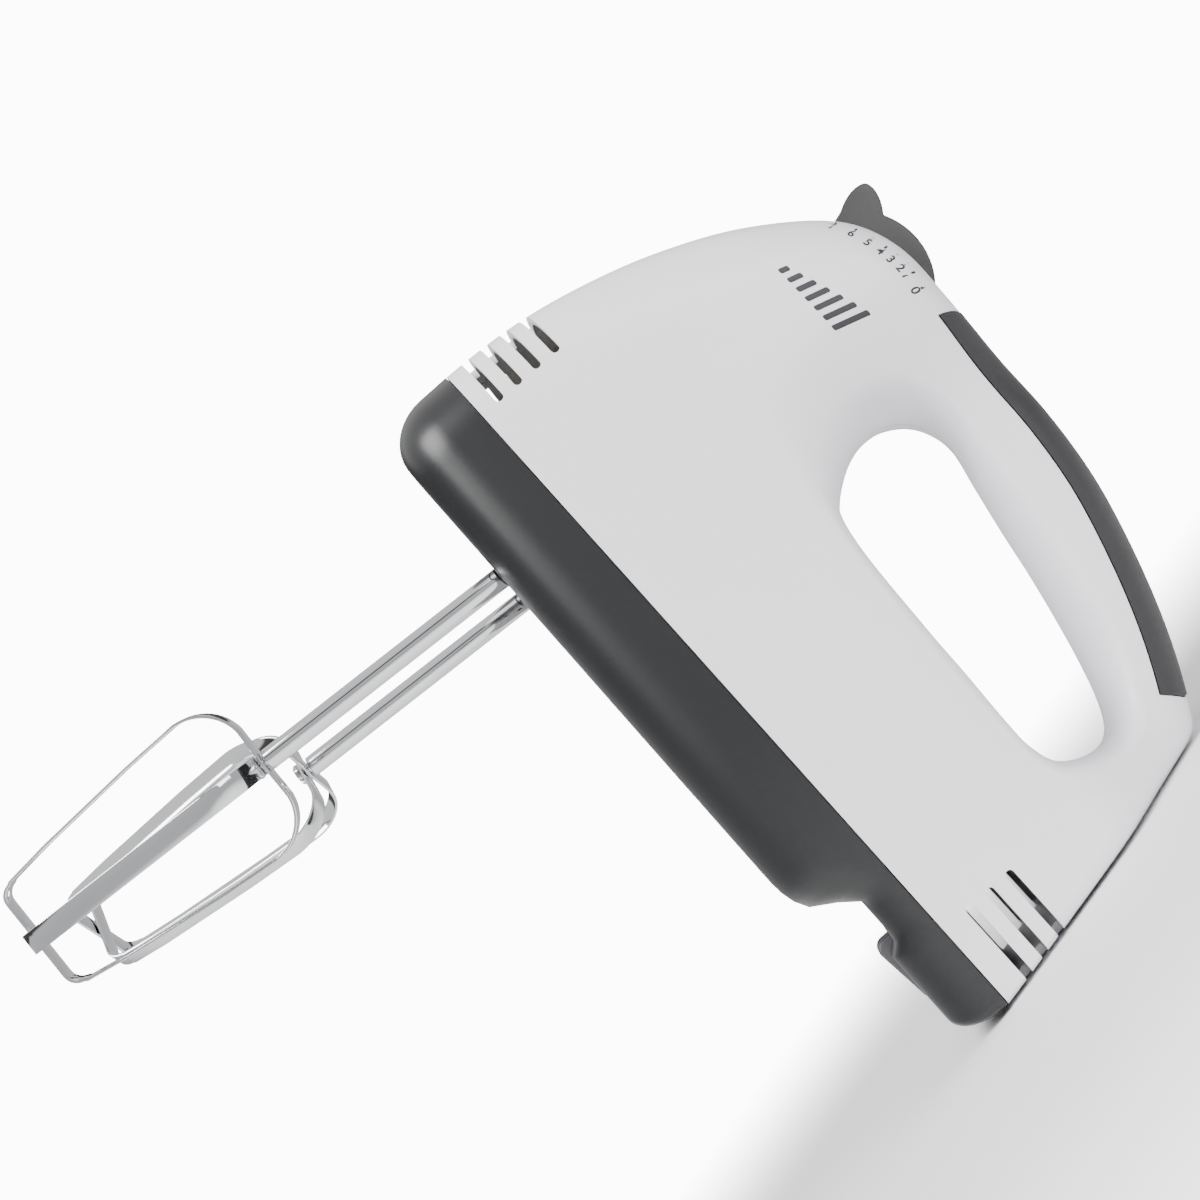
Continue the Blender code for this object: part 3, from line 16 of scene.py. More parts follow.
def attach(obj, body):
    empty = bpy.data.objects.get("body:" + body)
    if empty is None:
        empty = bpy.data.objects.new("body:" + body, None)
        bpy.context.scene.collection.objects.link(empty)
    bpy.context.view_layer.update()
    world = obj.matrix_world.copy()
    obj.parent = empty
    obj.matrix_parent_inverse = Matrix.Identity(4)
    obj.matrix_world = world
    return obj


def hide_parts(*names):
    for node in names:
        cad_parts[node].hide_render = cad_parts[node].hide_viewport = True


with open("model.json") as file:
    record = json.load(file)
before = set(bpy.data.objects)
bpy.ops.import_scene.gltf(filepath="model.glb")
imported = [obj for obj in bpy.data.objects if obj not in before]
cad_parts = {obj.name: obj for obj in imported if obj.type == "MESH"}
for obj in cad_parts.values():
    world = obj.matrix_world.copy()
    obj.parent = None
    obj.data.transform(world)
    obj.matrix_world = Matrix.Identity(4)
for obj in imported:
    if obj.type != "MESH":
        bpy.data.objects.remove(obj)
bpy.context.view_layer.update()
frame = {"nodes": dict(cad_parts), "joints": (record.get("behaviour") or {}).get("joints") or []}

MM = 0.001

# Casing sizes, as in the part.
HEEL_X = 196.5             # where the heel lies at the seam; the nose lies at 4.0
BODY_HEIGHT = 123.0
BODY_WIDTH = 76.0
CROWN_WIDTH = 48.0
HANDLE_WIDTH = 29.0
HEEL_WIDTH_LOSS = 3.5
SEAM_HEIGHT = 21.2
HEEL_SLOPE = 0.196
HEEL_SOFTNESS = 2.4        # how gently the side runs into the flat heel
WALL = 2.2
GAP = 0.3
RIB_SLANT = 0.85

# Base cover.
HEEL_STEP = 157.0
HEEL_FLOOR = 12.3
HEEL_BLOCK = 170.5
HEEL_BLOCK_FLOOR = 9.3
HEEL_BLOCK_RUN = 3.0
TUB_CORNER = 13.0
STEP_ROUND = 15.0
SHAFT_HOLE_CLEARANCE = 1.2

# Slider.
SLIDER_X = 52.0
SLIDER_Z = 108.5
DRUM_RADIUS = 19.4
DRUM_WIDTH = 12.0
DRUM_FROM = 43.0
DRUM_TO = 215.0
TOE_RADIUS = 15.0
TOE_ANGLE = 163.0
SKIRT_FROM = 172.0
SKIRT_RADIUS = 11.0
FIN_ANGLE = 131.5
FIN_HALF_ANGLE = 15.4
FIN_HEIGHT = 6.8
FIN_FULLNESS = 1.6
HUB_RADIUS = 5.0
SLIDER_CLEARANCE = 0.6
SLOT_DROP = 6.0
SLIDER_PIN_RADIUS = 2.0

# Grip.
GRIP_FIRST_RIB = 10.36
GRIP_LAST_RIB = 16.0
GRIP_FRONT = 73.5
GRIP_REAR = 174.0
GRIP_DEPTH = 7.6
GRIP_PROUD = 0.25
GRIP_WALL = 2.5            # depth of the strip, down to its seat

# Vents.
VENT_HEIGHT = 2.2
VENT_PITCH = 5.6
NOSE_VENT_FIRST = 26.9
NOSE_VENT_COUNT = 4
NOSE_VENT_END = 24.2
NOSE_VENT_BAR = 6.0
HEEL_VENT_FIRST = 28.6
HEEL_VENT_COUNT = 3
HEEL_VENT_START = 175.0
HEEL_VENT_SIDE = 25.0
HEEL_VENT_LIFT = 2.7

# Drive and beaters.
SPINDLE_X = 50.5
DRIVE_LEAN = math.radians(3.8)
SPINDLE_SPACING = 38.0
SHAFT_RADIUS = 2.7
SHAFT_TOP = 34.0
CROSSING_DROP = 70.0
HEAD_LENGTH = 67.5
HEAD_RADIUS = 20.0
HEAD_TIP_RADIUS = 14.5
STRIP_WIDTH = 5.3
STRIP_THICK = 0.8
TENON_RADIUS = 1.2
LEFT_BLADE_TURN = math.radians(12.0)
RIGHT_BLADE_TURN = math.radians(57.0)

# Gland and its bore.
GLAND_FROM = 170.0
GLAND_TO = 186.0
GLAND_WIDTH = 14.0
GLAND_LOW = 7.4
GLAND_CORNER = 2.5
GLAND_RISE = 1.6           # how much higher its underside lies at the rear end
GLAND_SEAT = 1.5           # how far it reaches in past the cover's wall
GLAND_EDGE = 0.7
CORD_RADIUS = 2.6
CORD_MOUTH = 3.2           # radius of the bore at its mouth
CORD_MOUTH_DEPTH = 0.6
CORD_DEPTH = 11.0

# Screws.
SCREW_RADIUS = 1.5
SCREW_HEAD_RADIUS = 2.8
SCREW_HEAD_HEIGHT = 1.8
BOSS_WALL = 2.0
SCREW_SEAT = 6.0
SCREW_DEPTH = 12.0
CASE_SCREWS = [(20.5, 63.0), (70.5, 88.0), (176.3, 86.5), (180.5, 51.0), (152.0, 54.0)]
BASE_SCREWS = [(13.5, -9.0, 12.0), (13.5, 9.0, 12.0), (84.0, -17.0, 14.0), (84.0, 17.0, 14.0)]
BASE_SEAT = 3.5            # underside to the seat of a base screw's head
WELL_WALL = 1.4            # wall of a base screw's post around its head

# The shallow ring around each shaft's opening.
RING_INNER = 8.6
RING_OUTER = 10.0
RING_DEPTH = 0.5

# Prints.
DIGIT_SIZE = 3.2
DIGIT_WEIGHT = 0.085       # how far a digit's outline is drawn out to thicken it
DIGIT_DROP = 2.0           # from a tick down to its digit
TICK_HALF_WIDTH = 0.3
TICK_HALF_HEIGHT = 0.55
BAR_X = 43.0
BAR_Z = 93.5
BAR_COUNT = 7
BAR_PITCH = 3.0
BAR_WIDTH = 1.5
BAR_FIRST_HEIGHT = 2.4
BAR_GROWTH = 1.1

# Light.
SKY_STRENGTH = 1.12
WHITE_STRENGTH = 12.0      # the white that the camera sees around the mixer
KEY_POWER = 33.0
FILL_POWER = 11.0

# How finely the casing is drawn.
AROUND = 240
ROLL_STEPS = 10
SIDE_STEPS = 18

# Ribs of the casing: each runs from the outer parting line to the parting line of the handle opening.
# outer x, outer z, inner x, inner z, outer roll, inner roll, outer fullness, inner fullness
RIBS = [
    (100.0, -40.0, 125.0, 64.3, 9.0, 4.0, 2.6, 2.6),
    (50.0, -40.0, 104.5, 65.5, 14.0, 4.0, 2.6, 2.6),
    (3.8, -30.0, 93.5, 67.8, 28.0, 4.5, 2.6, 2.4),
    (3.8, 10.0, 88.0, 71.6, 28.0, 5.0, 2.6, 2.2),
    (5.0, 38.6, 83.6, 77.2, 28.0, 6.0, 2.6, 2.0),
    (9.1, 61.4, 81.0, 82.6, 28.0, 6.5, 2.5, 2.0),
    (15.4, 81.5, 80.3, 87.4, 27.0, 7.0, 2.4, 2.0),
    (24.2, 99.3, 81.3, 92.2, 25.0, 7.0, 2.4, 2.0),
    (36.6, 115.2, 85.0, 96.8, 22.0, 7.5, 2.4, 1.9),
    (49.9, 122.0, 90.4, 99.4, 20.0, 8.0, 2.4, 1.8),
    (67.0, 122.7, 97.0, 99.9, 16.0, 9.0, 2.3, 1.7),
    (87.1, 121.9, 106.5, 97.6, 13.0, 10.0, 2.3, 1.6),
    (105.0, 121.4, 118.5, 95.0, 12.0, 10.5, 2.3, 1.6),
    (124.0, 118.7, 130.5, 92.7, 11.5, 10.5, 2.3, 1.6),
    (143.0, 113.3, 142.5, 90.0, 11.5, 10.0, 2.3, 1.6),
    (159.5, 107.0, 154.0, 87.0, 11.5, 9.5, 2.3, 1.6),
    (173.8, 99.8, 163.5, 84.0, 11.0, 8.0, 2.4, 1.8),
    (182.2, 94.0, 169.0, 80.8, 11.0, 6.0, 2.6, 2.0),
    (186.0, 84.0, 170.4, 76.5, 10.0, 5.0, 3.0, 2.0),
    (190.3, 62.0, 168.6, 70.6, 9.0, 4.5, 3.6, 2.2),
    (194.8, 38.0, 164.5, 65.4, 9.0, 4.5, 3.6, 2.4),
    (200.2, 10.0, 158.0, 63.2, 9.0, 4.0, 3.6, 2.6),
    (208.0, -30.0, 150.0, 63.2, 9.0, 4.0, 3.6, 2.6),
    (150.0, -40.0, 138.0, 63.9, 9.0, 4.0, 2.6, 2.6),
]
NOSE_SEAM_RIB = 3.35
HEEL_SEAM_RIB = 20.64


def standing_place():
    """The matrix from the design frame to the standing mixer, placed by the slider's own hinge."""
    lean = math.atan(HEEL_SLOPE)
    up = Vector((-math.cos(lean), 0.0, -math.sin(lean)))
    forward = Vector((math.sin(lean), 0.0, -math.cos(lean)))
    turn = Matrix((forward, up.cross(forward), up))
    hinge = next(joint["pos_m"] for joint in frame["joints"] if joint["name"] == "speed_turn")
    shift = Vector(hinge) - turn @ Vector((SLIDER_X, 0.0, SLIDER_Z)) * MM
    return Matrix.Translation(shift) @ turn.to_4x4() @ Matrix.Scale(MM, 4)


STAND = standing_place()
DRIVE = STAND @ Matrix.Translation((SPINDLE_X, 0.0, 0.0)) @ Matrix.Rotation(DRIVE_LEAN, 4, 'Y')


# Camera -------------------------------------------------------------------------------------------

def make_camera():
    """A fairly long lens from the user's left, a little behind the middle, rolled as the mixer is held."""
    yaw = math.radians(10.0)
    roll = math.radians(48.3)
    target = Vector((66.6, 0.0, 13.5))
    distance = 454.0
    back = Vector((math.sin(yaw), -math.cos(yaw), 0.0))
    level = Vector((math.cos(yaw), math.sin(yaw), 0.0))
    upright = Vector((0.0, 0.0, 1.0))
    right = level * math.cos(roll) + upright * math.sin(roll)
    above = upright * math.cos(roll) - level * math.sin(roll)
    turn = STAND.to_3x3() * (1.0 / MM)
    lens = bpy.data.cameras.new("camera")
    lens.lens = 56.5
    lens.sensor_width = 36.0
    lens.clip_start = 0.02
    lens.clip_end = 200.0
    camera = bpy.data.objects.new("camera", lens)
    bpy.context.scene.collection.objects.link(camera)
    axes = Matrix((turn @ right, turn @ above, turn @ back)).transposed()
    camera.matrix_world = Matrix.Translation(STAND @ (target + back * distance)) @ axes.to_4x4()
    bpy.context.scene.camera = camera


make_camera()


# Mesh helpers -------------------------------------------------------------------------------------

def temporary(bm, name):
    """An object out of a bmesh, for a modifier to work on."""
    mesh = bpy.data.meshes.new(name)
    bm.to_mesh(mesh)
    bm.free()
    thing = bpy.data.objects.new(name, mesh)
    bpy.context.scene.collection.objects.link(thing)
    return thing


def drop(thing):
    """Removes a temporary object and its mesh."""
    mesh = thing.data
    bpy.data.objects.remove(thing)
    bpy.data.meshes.remove(mesh)


def carve(bm, cuts):
    """The bmesh after a chain of exact Booleans, each an operation and a cutter's bmesh."""
    body = temporary(bm, "body")
    cutters = []
    for operation, cutter in cuts:
        tool = temporary(cutter, "cutter")
        step = body.modifiers.new("cut", 'BOOLEAN')
        step.operation = operation
        step.solver = 'EXACT'
        step.object = tool
        cutters.append(tool)
    bpy.context.view_layer.update()
    done = bmesh.new()
    done.from_object(body, bpy.context.evaluated_depsgraph_get())
    for thing in [body, *cutters]:
        drop(thing)
    return done


def soften(bm, width, segments=2, angle=40.0):
    """Rounds every edge that is sharper than the angle."""
    sharp = [edge for edge in bm.edges if edge.is_manifold and edge.calc_face_angle() > math.radians(angle)]
    bmesh.ops.bevel(bm, geom=sharp, offset=width, offset_type='OFFSET', segments=segments, profile=0.5,
                    affect='EDGES', clamp_overlap=True, material=-1)
    return bm


def plate(outline, low, high, axis='Z'):
    """A closed outline as a slab from low to high; the outline is (x, y), (x, z) for Y or (y, z) for X."""
    bm = bmesh.new()
    ring = bmesh.ops.create_circle(bm, cap_ends=False, segments=len(outline), radius=1.0)['verts']
    for vert, (a, b) in zip(ring, outline):
        vert.co = (a, b, low)
    bmesh.ops.contextual_create(bm, geom=bm.edges[:])
    grown = bmesh.ops.extrude_face_region(bm, geom=bm.faces[:], use_keep_orig=True)
    top = [item for item in grown['geom'] if isinstance(item, bmesh.types.BMVert)]
    bmesh.ops.translate(bm, vec=(0.0, 0.0, high - low), verts=top)
    for vert in bm.verts:
        a, b, c = vert.co
        if axis == 'Y':
            vert.co = (a, c, b)
        elif axis == 'X':
            vert.co = (c, a, b)
    bmesh.ops.recalc_face_normals(bm, faces=bm.faces)
    if bm.calc_volume(signed=True) < 0.0:
        bmesh.ops.reverse_faces(bm, faces=bm.faces)
    return bm


def turned(profile, steps, axis='Z', centre=(0.0, 0.0, 0.0)):
    """A solid spun from (radius, height) points around an axis through the centre."""
    bm = bmesh.new()
    verts = [bmesh.ops.create_vert(bm, co=(radius, 0.0, height))['vert'][0] for radius, height in profile]
    for pair in zip(verts, verts[1:]):
        bmesh.ops.contextual_create(bm, geom=list(pair))
    if profile[0][0] > 0.0:
        bmesh.ops.contextual_create(bm, geom=[verts[-1], verts[0]])
    bmesh.ops.spin(bm, geom=bm.verts[:] + bm.edges[:], cent=(0.0, 0.0, 0.0), axis=(0.0, 0.0, 1.0),
                   angle=2.0 * math.pi, steps=steps, use_merge=True, use_duplicate=False)
    bmesh.ops.remove_doubles(bm, verts=bm.verts, dist=0.001)
    turn = {'X': Matrix.Rotation(math.pi / 2.0, 3, 'Y'), 'Y': Matrix.Rotation(-math.pi / 2.0, 3, 'X')}
    if axis in turn:
        bmesh.ops.rotate(bm, matrix=turn[axis], verts=bm.verts)
    bmesh.ops.translate(bm, vec=centre, verts=bm.verts)
    bmesh.ops.recalc_face_normals(bm, faces=bm.faces)
    return bm


def rod(radius, low, high, steps, axis='Z', centre=(0.0, 0.0, 0.0)):
    """A plain cylinder."""
    return turned([(0.0, low), (radius, low), (radius, high), (0.0, high)], steps, axis, centre)


def rounded_slot(x0, x1, z, height, low, high):
    """A slot's cutter along y: square where it leaves the casing at x0, round at x1."""
    half = height / 2.0
    away = 1.0 if x1 > x0 else -1.0
    outline = [(x0, z - half)]
    for i in range(13):
        turn = -math.pi / 2.0 + math.pi * i / 12.0
        outline.append((x1 - away * half + away * half * math.cos(turn), z + half * math.sin(turn)))
    outline.append((x0, z + half))
    return plate(outline, low, high, 'Y')


def block(low, high):
    """A box between two corners."""
    bm = bmesh.new()
    bmesh.ops.create_cube(bm, size=1.0)
    size = Vector(high) - Vector(low)
    bmesh.ops.scale(bm, vec=size, verts=bm.verts)
    bmesh.ops.translate(bm, vec=(Vector(high) + Vector(low)) / 2.0, verts=bm.verts)
    return bm


def gather(pieces):
    """One bmesh out of several."""
    whole = bmesh.new()
    for bm in pieces:
        mesh = bpy.data.meshes.new("gathered")
        bm.to_mesh(mesh)
        bm.free()
        whole.from_mesh(mesh)
        bpy.data.meshes.remove(mesh)
    return whole


def flipped(bm, side):
    """The same shape, mirrored to the left if the side is negative."""
    if side < 0.0:
        bmesh.ops.scale(bm, vec=(1.0, -1.0, 1.0), verts=bm.verts)
        bmesh.ops.reverse_faces(bm, faces=bm.faces)
    return bm


def add_piece(name, bm, place, finish, body, stands_for=(), angle=38.0):
    """Places a bmesh, gives it its finish, ties it to its body and hides the nodes it stands for."""
    bm.transform(place)
    bmesh.ops.remove_doubles(bm, verts=bm.verts, dist=2e-7)
    bmesh.ops.dissolve_degenerate(bm, edges=bm.edges, dist=2e-7)
    bmesh.ops.recalc_face_normals(bm, faces=bm.faces)
    mesh = bpy.data.meshes.new(name)
    bm.to_mesh(mesh)
    bm.free()
    mesh.shade_smooth()
    mesh.set_sharp_from_angle(angle=math.radians(angle))
    mesh.materials.append(finish)
    piece = bpy.data.objects.new(name, mesh)
    bpy.context.scene.collection.objects.link(piece)
    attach(piece, body)
    if stands_for:
        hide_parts(*stands_for)
    return piece


# Casing surface -----------------------------------------------------------------------------------

def ramp(value, low, high):
    """0 below low, 1 above high, smooth between."""
    share = min(1.0, max(0.0, (value - low) / (high - low)))
    return share * share * (3.0 - 2.0 * share)


def rib_at(u, inset=0.0):
    """The rib's eight values at a fractional index, shortened at both ends by an inset."""
    count = len(RIBS)
    base = math.floor(u)
    t = u - base
    rows = [RIBS[(base + k) % count] for k in (-1, 0, 1, 2)]
    weights = (
        -0.5 * t + t * t - 0.5 * t ** 3,
        1.0 - 2.5 * t * t + 1.5 * t ** 3,
        0.5 * t + 2.0 * t * t - 1.5 * t ** 3,
        -0.5 * t * t + 0.5 * t ** 3,
    )
    px, pz, qx, qz, out_roll, in_roll, out_full, in_full = [
        sum(w * row[k] for w, row in zip(weights, rows)) for k in range(8)]
    length = math.hypot(qx - px, qz - pz)
    step_x = (qx - px) / length * inset / RIB_SLANT
    step_z = (qz - pz) / length * inset / RIB_SLANT
    px, pz, qx, qz = px + step_x, pz + step_z, qx - step_x, qz - step_z
    room = 0.96 * (length - 2.0 * inset / RIB_SLANT)
    out_roll = max(2.0, out_roll - 0.5 * inset)
    in_roll = max(2.0, in_roll - 0.5 * inset)
    squeeze = min(1.0, room / (out_roll + in_roll))
    return px, pz, qx, qz, out_roll * squeeze, in_roll * squeeze, out_full, in_full


def half_width(x, z):
    """Half of the casing's width at a place in side view, before its edges roll in."""
    climb = max(0.0, (z - SEAM_HEIGHT) / (BODY_HEIGHT - SEAM_HEIGHT))
    body = BODY_WIDTH / 2.0 - (BODY_WIDTH - CROWN_WIDTH) / 2.0 * climb * climb
    body -= HEEL_WIDTH_LOSS * ramp(x, 110.0, 196.0)
    handle = ramp(x, 56.0, 100.0) * ramp(z, 62.0, 94.0)
    return body + (HANDLE_WIDTH / 2.0 - body) * handle


def roll(share, fullness):
    """The height of a rounded edge, 0 to 1, at a share of its depth."""
    return (1.0 - (1.0 - min(1.0, max(0.0, share))) ** fullness) ** (1.0 / fullness)


def rib_point(u, run, inset=0.0):
    """The point on the right-hand side at a distance along a rib."""
    px, pz, qx, qz, out_roll, in_roll, out_full, in_full = rib_at(u, inset)
    length = math.hypot(qx - px, qz - pz)
    share = run / length
    x = px + (qx - px) * share
    z = pz + (qz - pz) * share
    y = half_width(x, z) - inset
    y *= roll(run / out_roll, out_full) * roll((length - run) / in_roll, in_full)
    return x, y, z


def held_by_heel(x, z, inset):
    """A point's x, kept in front of the flat heel with a small rounded corner."""
    plane = HEEL_X - HEEL_SLOPE * (z - SEAM_HEIGHT) - inset
    near = max(0.0, HEEL_SOFTNESS - abs(plane - x)) / HEEL_SOFTNESS
    return min(x, plane) - near * near * HEEL_SOFTNESS / 4.0


def skin_row(rib, row, half):
    """How far along its rib a row of the skin lies: close together in the rolls, even between them."""
    length = math.hypot(rib[2] - rib[0], rib[3] - rib[1])
    if row <= ROLL_STEPS:
        turn = math.pi / 2.0 * row / ROLL_STEPS
        return rib[4] * (1.0 - math.cos(turn) ** (2.0 / rib[6]))
    if row < half - ROLL_STEPS:
        return rib[4] + (length - rib[4] - rib[5]) * (row - ROLL_STEPS) / SIDE_STEPS
    turn = math.pi / 2.0 * (half - row) / ROLL_STEPS
    return length - rib[5] * (1.0 - math.cos(turn) ** (2.0 / rib[7]))


def skin_place(u, row, half, inset, parting=GAP / 2.0):
    """A point of the right-hand half of the casing's surface."""
    x, y, z = rib_point(u, skin_row(rib_at(u, inset), row, half), inset)
    return held_by_heel(x, z, inset), max(y, parting), z


def half_shell(outer=0.0, inner=WALL, parting=GAP / 2.0):
    """The right-hand half of the casing as a closed wall: out along the surface and back along its inside."""
    half = 2 * ROLL_STEPS + SIDE_STEPS
    rows = 2 * half + 2
    bm = bmesh.new()
    bmesh.ops.create_grid(bm, x_segments=AROUND, y_segments=rows, size=1.0)
    for vert in bm.verts:
        u = (vert.co.x + 1.0) / 2.0 * len(RIBS)
        row = round((vert.co.y + 1.0) / 2.0 * rows) % rows
        if row <= half:
            vert.co = skin_place(u, row, half, outer, parting)
        else:
            vert.co = skin_place(u, 2 * half + 1 - row, half, inner, parting)
    bmesh.ops.remove_doubles(bm, verts=bm.verts, dist=0.001)
    bmesh.ops.recalc_face_normals(bm, faces=bm.faces)
    bmesh.ops.triangulate(bm, faces=bm.faces)
    return bm


def outer_tree():
    """A search tree of the right-hand outer surface, to lay posts and prints on it."""
    half = 2 * ROLL_STEPS + SIDE_STEPS
    bm = bmesh.new()
    bmesh.ops.create_grid(bm, x_segments=AROUND, y_segments=half, size=1.0)
    for vert in bm.verts:
        u = (vert.co.x + 1.0) / 2.0 * len(RIBS)
        vert.co = skin_place(u, round((vert.co.y + 1.0) / 2.0 * half), half, 0.0)
    tree = BVHTree.FromBMesh(bm)
    bm.free()
    return tree


SKIN = outer_tree()


def skin_y(x, z):
    """The casing's half width at a place in side view, with its rolled edges."""
    hit = SKIN.ray_cast(Vector((x, BODY_WIDTH, z)), Vector((0.0, -1.0, 0.0)))
    return hit[0].y if hit[0] else GAP / 2.0


def seam_outline(count):
    """The casing's outline at the seam, right-hand side, from the nose to the heel."""
    first = NOSE_SEAM_RIB
    last = HEEL_SEAM_RIB - len(RIBS)
    points = []
    for i in range(count + 1):
        u = first + (last - first) * (0.5 - 0.5 * math.cos(math.pi * i / count))
        rib = rib_at(u)
        share = max(0.0, (SEAM_HEIGHT - rib[1]) / (rib[3] - rib[1]))
        length = math.hypot(rib[2] - rib[0], rib[3] - rib[1])
        x, y, _ = rib_point(u, share * length)
        points.append((held_by_heel(x, SEAM_HEIGHT, 0.0), y))
    points[0] = (points[0][0], 0.0)
    points[-1] = (points[-1][0], 0.0)
    return points


def floor_height(x):
    """The underside's height: the deep tub, its rounded rear end, a recess and the heel's block."""
    back = HEEL_STEP - x
    if back <= 0.0:
        return HEEL_FLOOR - (HEEL_FLOOR - HEEL_BLOCK_FLOOR) * ramp(x, HEEL_BLOCK, HEEL_BLOCK + HEEL_BLOCK_RUN)
    if back >= STEP_ROUND:
        return 0.0
    return HEEL_FLOOR * (1.0 - (1.0 - (1.0 - back / STEP_ROUND) ** 2.6) ** (1.0 / 2.6))


# Finishes -----------------------------------------------------------------------------------------

def linear(colour):
    """An sRGB hex colour as a linear one."""
    parts = [int(colour[i:i + 2], 16) / 255.0 for i in (1, 3, 5)]
    return (*[p / 12.92 if p <= 0.04045 else ((p + 0.055) / 1.055) ** 2.4 for p in parts], 1.0)


def add_node(tree, kind, settings, links=None):
    """Adds a node, sets its properties or sockets and links the named inputs."""
    made = tree.nodes.new(kind)
    for key, value in settings.items():
        if isinstance(key, str) and hasattr(made, key):
            setattr(made, key, value)
        else:
            made.inputs[key].default_value = value
    for socket, source in (links or {}).items():
        tree.links.new(source, made.inputs[socket])
    return made


def finish_of(name, roughness, metallic=0.0, ior=1.5):
    """A new material with its shader's constant values; returns it with its tree and shader."""
    made = bpy.data.materials.new(name)
    made.use_nodes = True
    shader = made.node_tree.nodes["Principled BSDF"]
    shader.inputs["Roughness"].default_value = roughness
    shader.inputs["Metallic"].default_value = metallic
    if metallic == 0.0:
        shader.inputs["IOR"].default_value = ior
    return made, made.node_tree, shader


def per_metre(millimetres):
    """A noise scale whose pattern repeats about every so many millimetres."""
    return 1.0 / (millimetres * MM)


def surface(made, tree, shader, colours, cloud, grain, depth, rough):
    """Clouds two near colours over the piece, and gives it a fine grain in its bump and its roughness."""
    place = add_node(tree, 'ShaderNodeTexCoord', {}).outputs["Object"]
    clouds = add_node(tree, 'ShaderNodeTexNoise', {"Scale": per_metre(cloud), "Detail": 3.0},
                      {"Vector": place})
    blend = add_node(tree, 'ShaderNodeMix',
                     {"data_type": 'RGBA', 6: linear(colours[0]), 7: linear(colours[1])},
                     {0: clouds.outputs[0]})
    fine = add_node(tree, 'ShaderNodeTexNoise', {"Scale": per_metre(grain), "Detail": 4.0}, {"Vector": place})
    bump = add_node(tree, 'ShaderNodeBump', {"Strength": 0.35, "Distance": depth * MM},
                    {"Height": fine.outputs[0]})
    spread = add_node(tree, 'ShaderNodeMapRange', {"To Min": rough[0], "To Max": rough[1]},
                      {"Value": fine.outputs[0]})
    tree.links.new(blend.outputs[2], shader.inputs["Base Color"])
    tree.links.new(bump.outputs[0], shader.inputs["Normal"])
    tree.links.new(spread.outputs[0], shader.inputs["Roughness"])
    return made


def white_abs():
    """Moulded ABS, white with a violet tinge: satin, with a soft wide highlight."""
    return surface(*finish_of("white_abs", 0.36, ior=1.53), ("#ecebf0", "#e6e5ea"),
                   60.0, 0.5, 0.02, (0.33, 0.4))


def charcoal_abs():
    """Moulded ABS, charcoal: nearly black in shade, with a broad grey sheen on its rolled edge."""
    return surface(*finish_of("charcoal_abs", 0.34, ior=1.53), ("#17181a", "#141517"),
                   40.0, 0.5, 0.02, (0.3, 0.38))


def slider_abs():
    """Moulded ABS, dark grey, with the dull face of a spark-eroded mould."""
    return surface(*finish_of("slider_abs", 0.45, ior=1.53), ("#2a2a2b", "#252526"),
                   20.0, 0.35, 0.03, (0.42, 0.52))


def grip_rubber():
    """Thermoplastic rubber moulded over the handle: dark, soft in its shine, finely stippled."""
    return surface(*finish_of("grip_rubber", 0.5, ior=1.5), ("#222124", "#1c1b1e"),
                   30.0, 0.45, 0.05, (0.44, 0.56))


def gland_rubber():
    """Grey rubber of the cord gland: matt and lighter than the base."""
    return surface(*finish_of("gland_rubber", 0.5, ior=1.5), ("#4e4e52", "#454549"),
                   12.0, 0.5, 0.04, (0.46, 0.56))


def chromed_steel():
    """Polished chromium plate on steel: mirrors its surroundings, with faint drawn waviness."""
    return surface(*finish_of("chromed_steel", 0.07, 1.0), ("#d9dadc", "#cfd0d3"),
                   18.0, 5.0, 0.01, (0.05, 0.1))


def plated_steel():
    """Zinc-plated steel: bright grey with a slight mottle."""
    return surface(*finish_of("plated_steel", 0.3, 1.0), ("#b9bbbf", "#a6a8ad"),
                   6.0, 0.6, 0.02, (0.24, 0.4))


def stamped_laminations():
    """A stack of stamped electrical steel: dull grey with fine layers."""
    return surface(*finish_of("stamped_laminations", 0.5, 1.0), ("#8a8c90", "#6f7175"),
                   3.0, 0.5, 0.05, (0.42, 0.6))


def enamelled_copper():
    """Copper wire under clear brown enamel."""
    return surface(*finish_of("enamelled_copper", 0.35, 1.0), ("#b5672f", "#96501f"),
                   2.0, 0.6, 0.08, (0.28, 0.44))


def turned_brass():
    """Plain brass, slightly dulled."""
    return surface(*finish_of("turned_brass", 0.32, 1.0), ("#cfae5f", "#bd9a4c"),
                   4.0, 0.5, 0.02, (0.26, 0.4))


def pressed_carbon():
    """Pressed carbon: black, dull and slightly grainy."""
    return surface(*finish_of("pressed_carbon", 0.7, ior=1.6), ("#252526", "#1b1b1c"),
                   2.0, 0.3, 0.04, (0.6, 0.8))


def natural_nylon():
    """Undyed nylon: creamy and a little waxy."""
    return surface(*finish_of("natural_nylon", 0.42, ior=1.53), ("#e0dac6", "#d6cfb8"),
                   10.0, 0.6, 0.02, (0.38, 0.48))


def black_phenolic():
    """Phenolic moulding: glossy black."""
    return surface(*finish_of("black_phenolic", 0.35, ior=1.6), ("#1f1e1e", "#171616"),
                   8.0, 0.5, 0.02, (0.3, 0.42))


def printing_ink():
    """Pad-printed ink: flat dark grey, thinner in places."""
    return surface(*finish_of("printing_ink", 0.55, ior=1.5), ("#2e2e33", "#27272b"),
                   2.0, 0.3, 0.01, (0.5, 0.6))


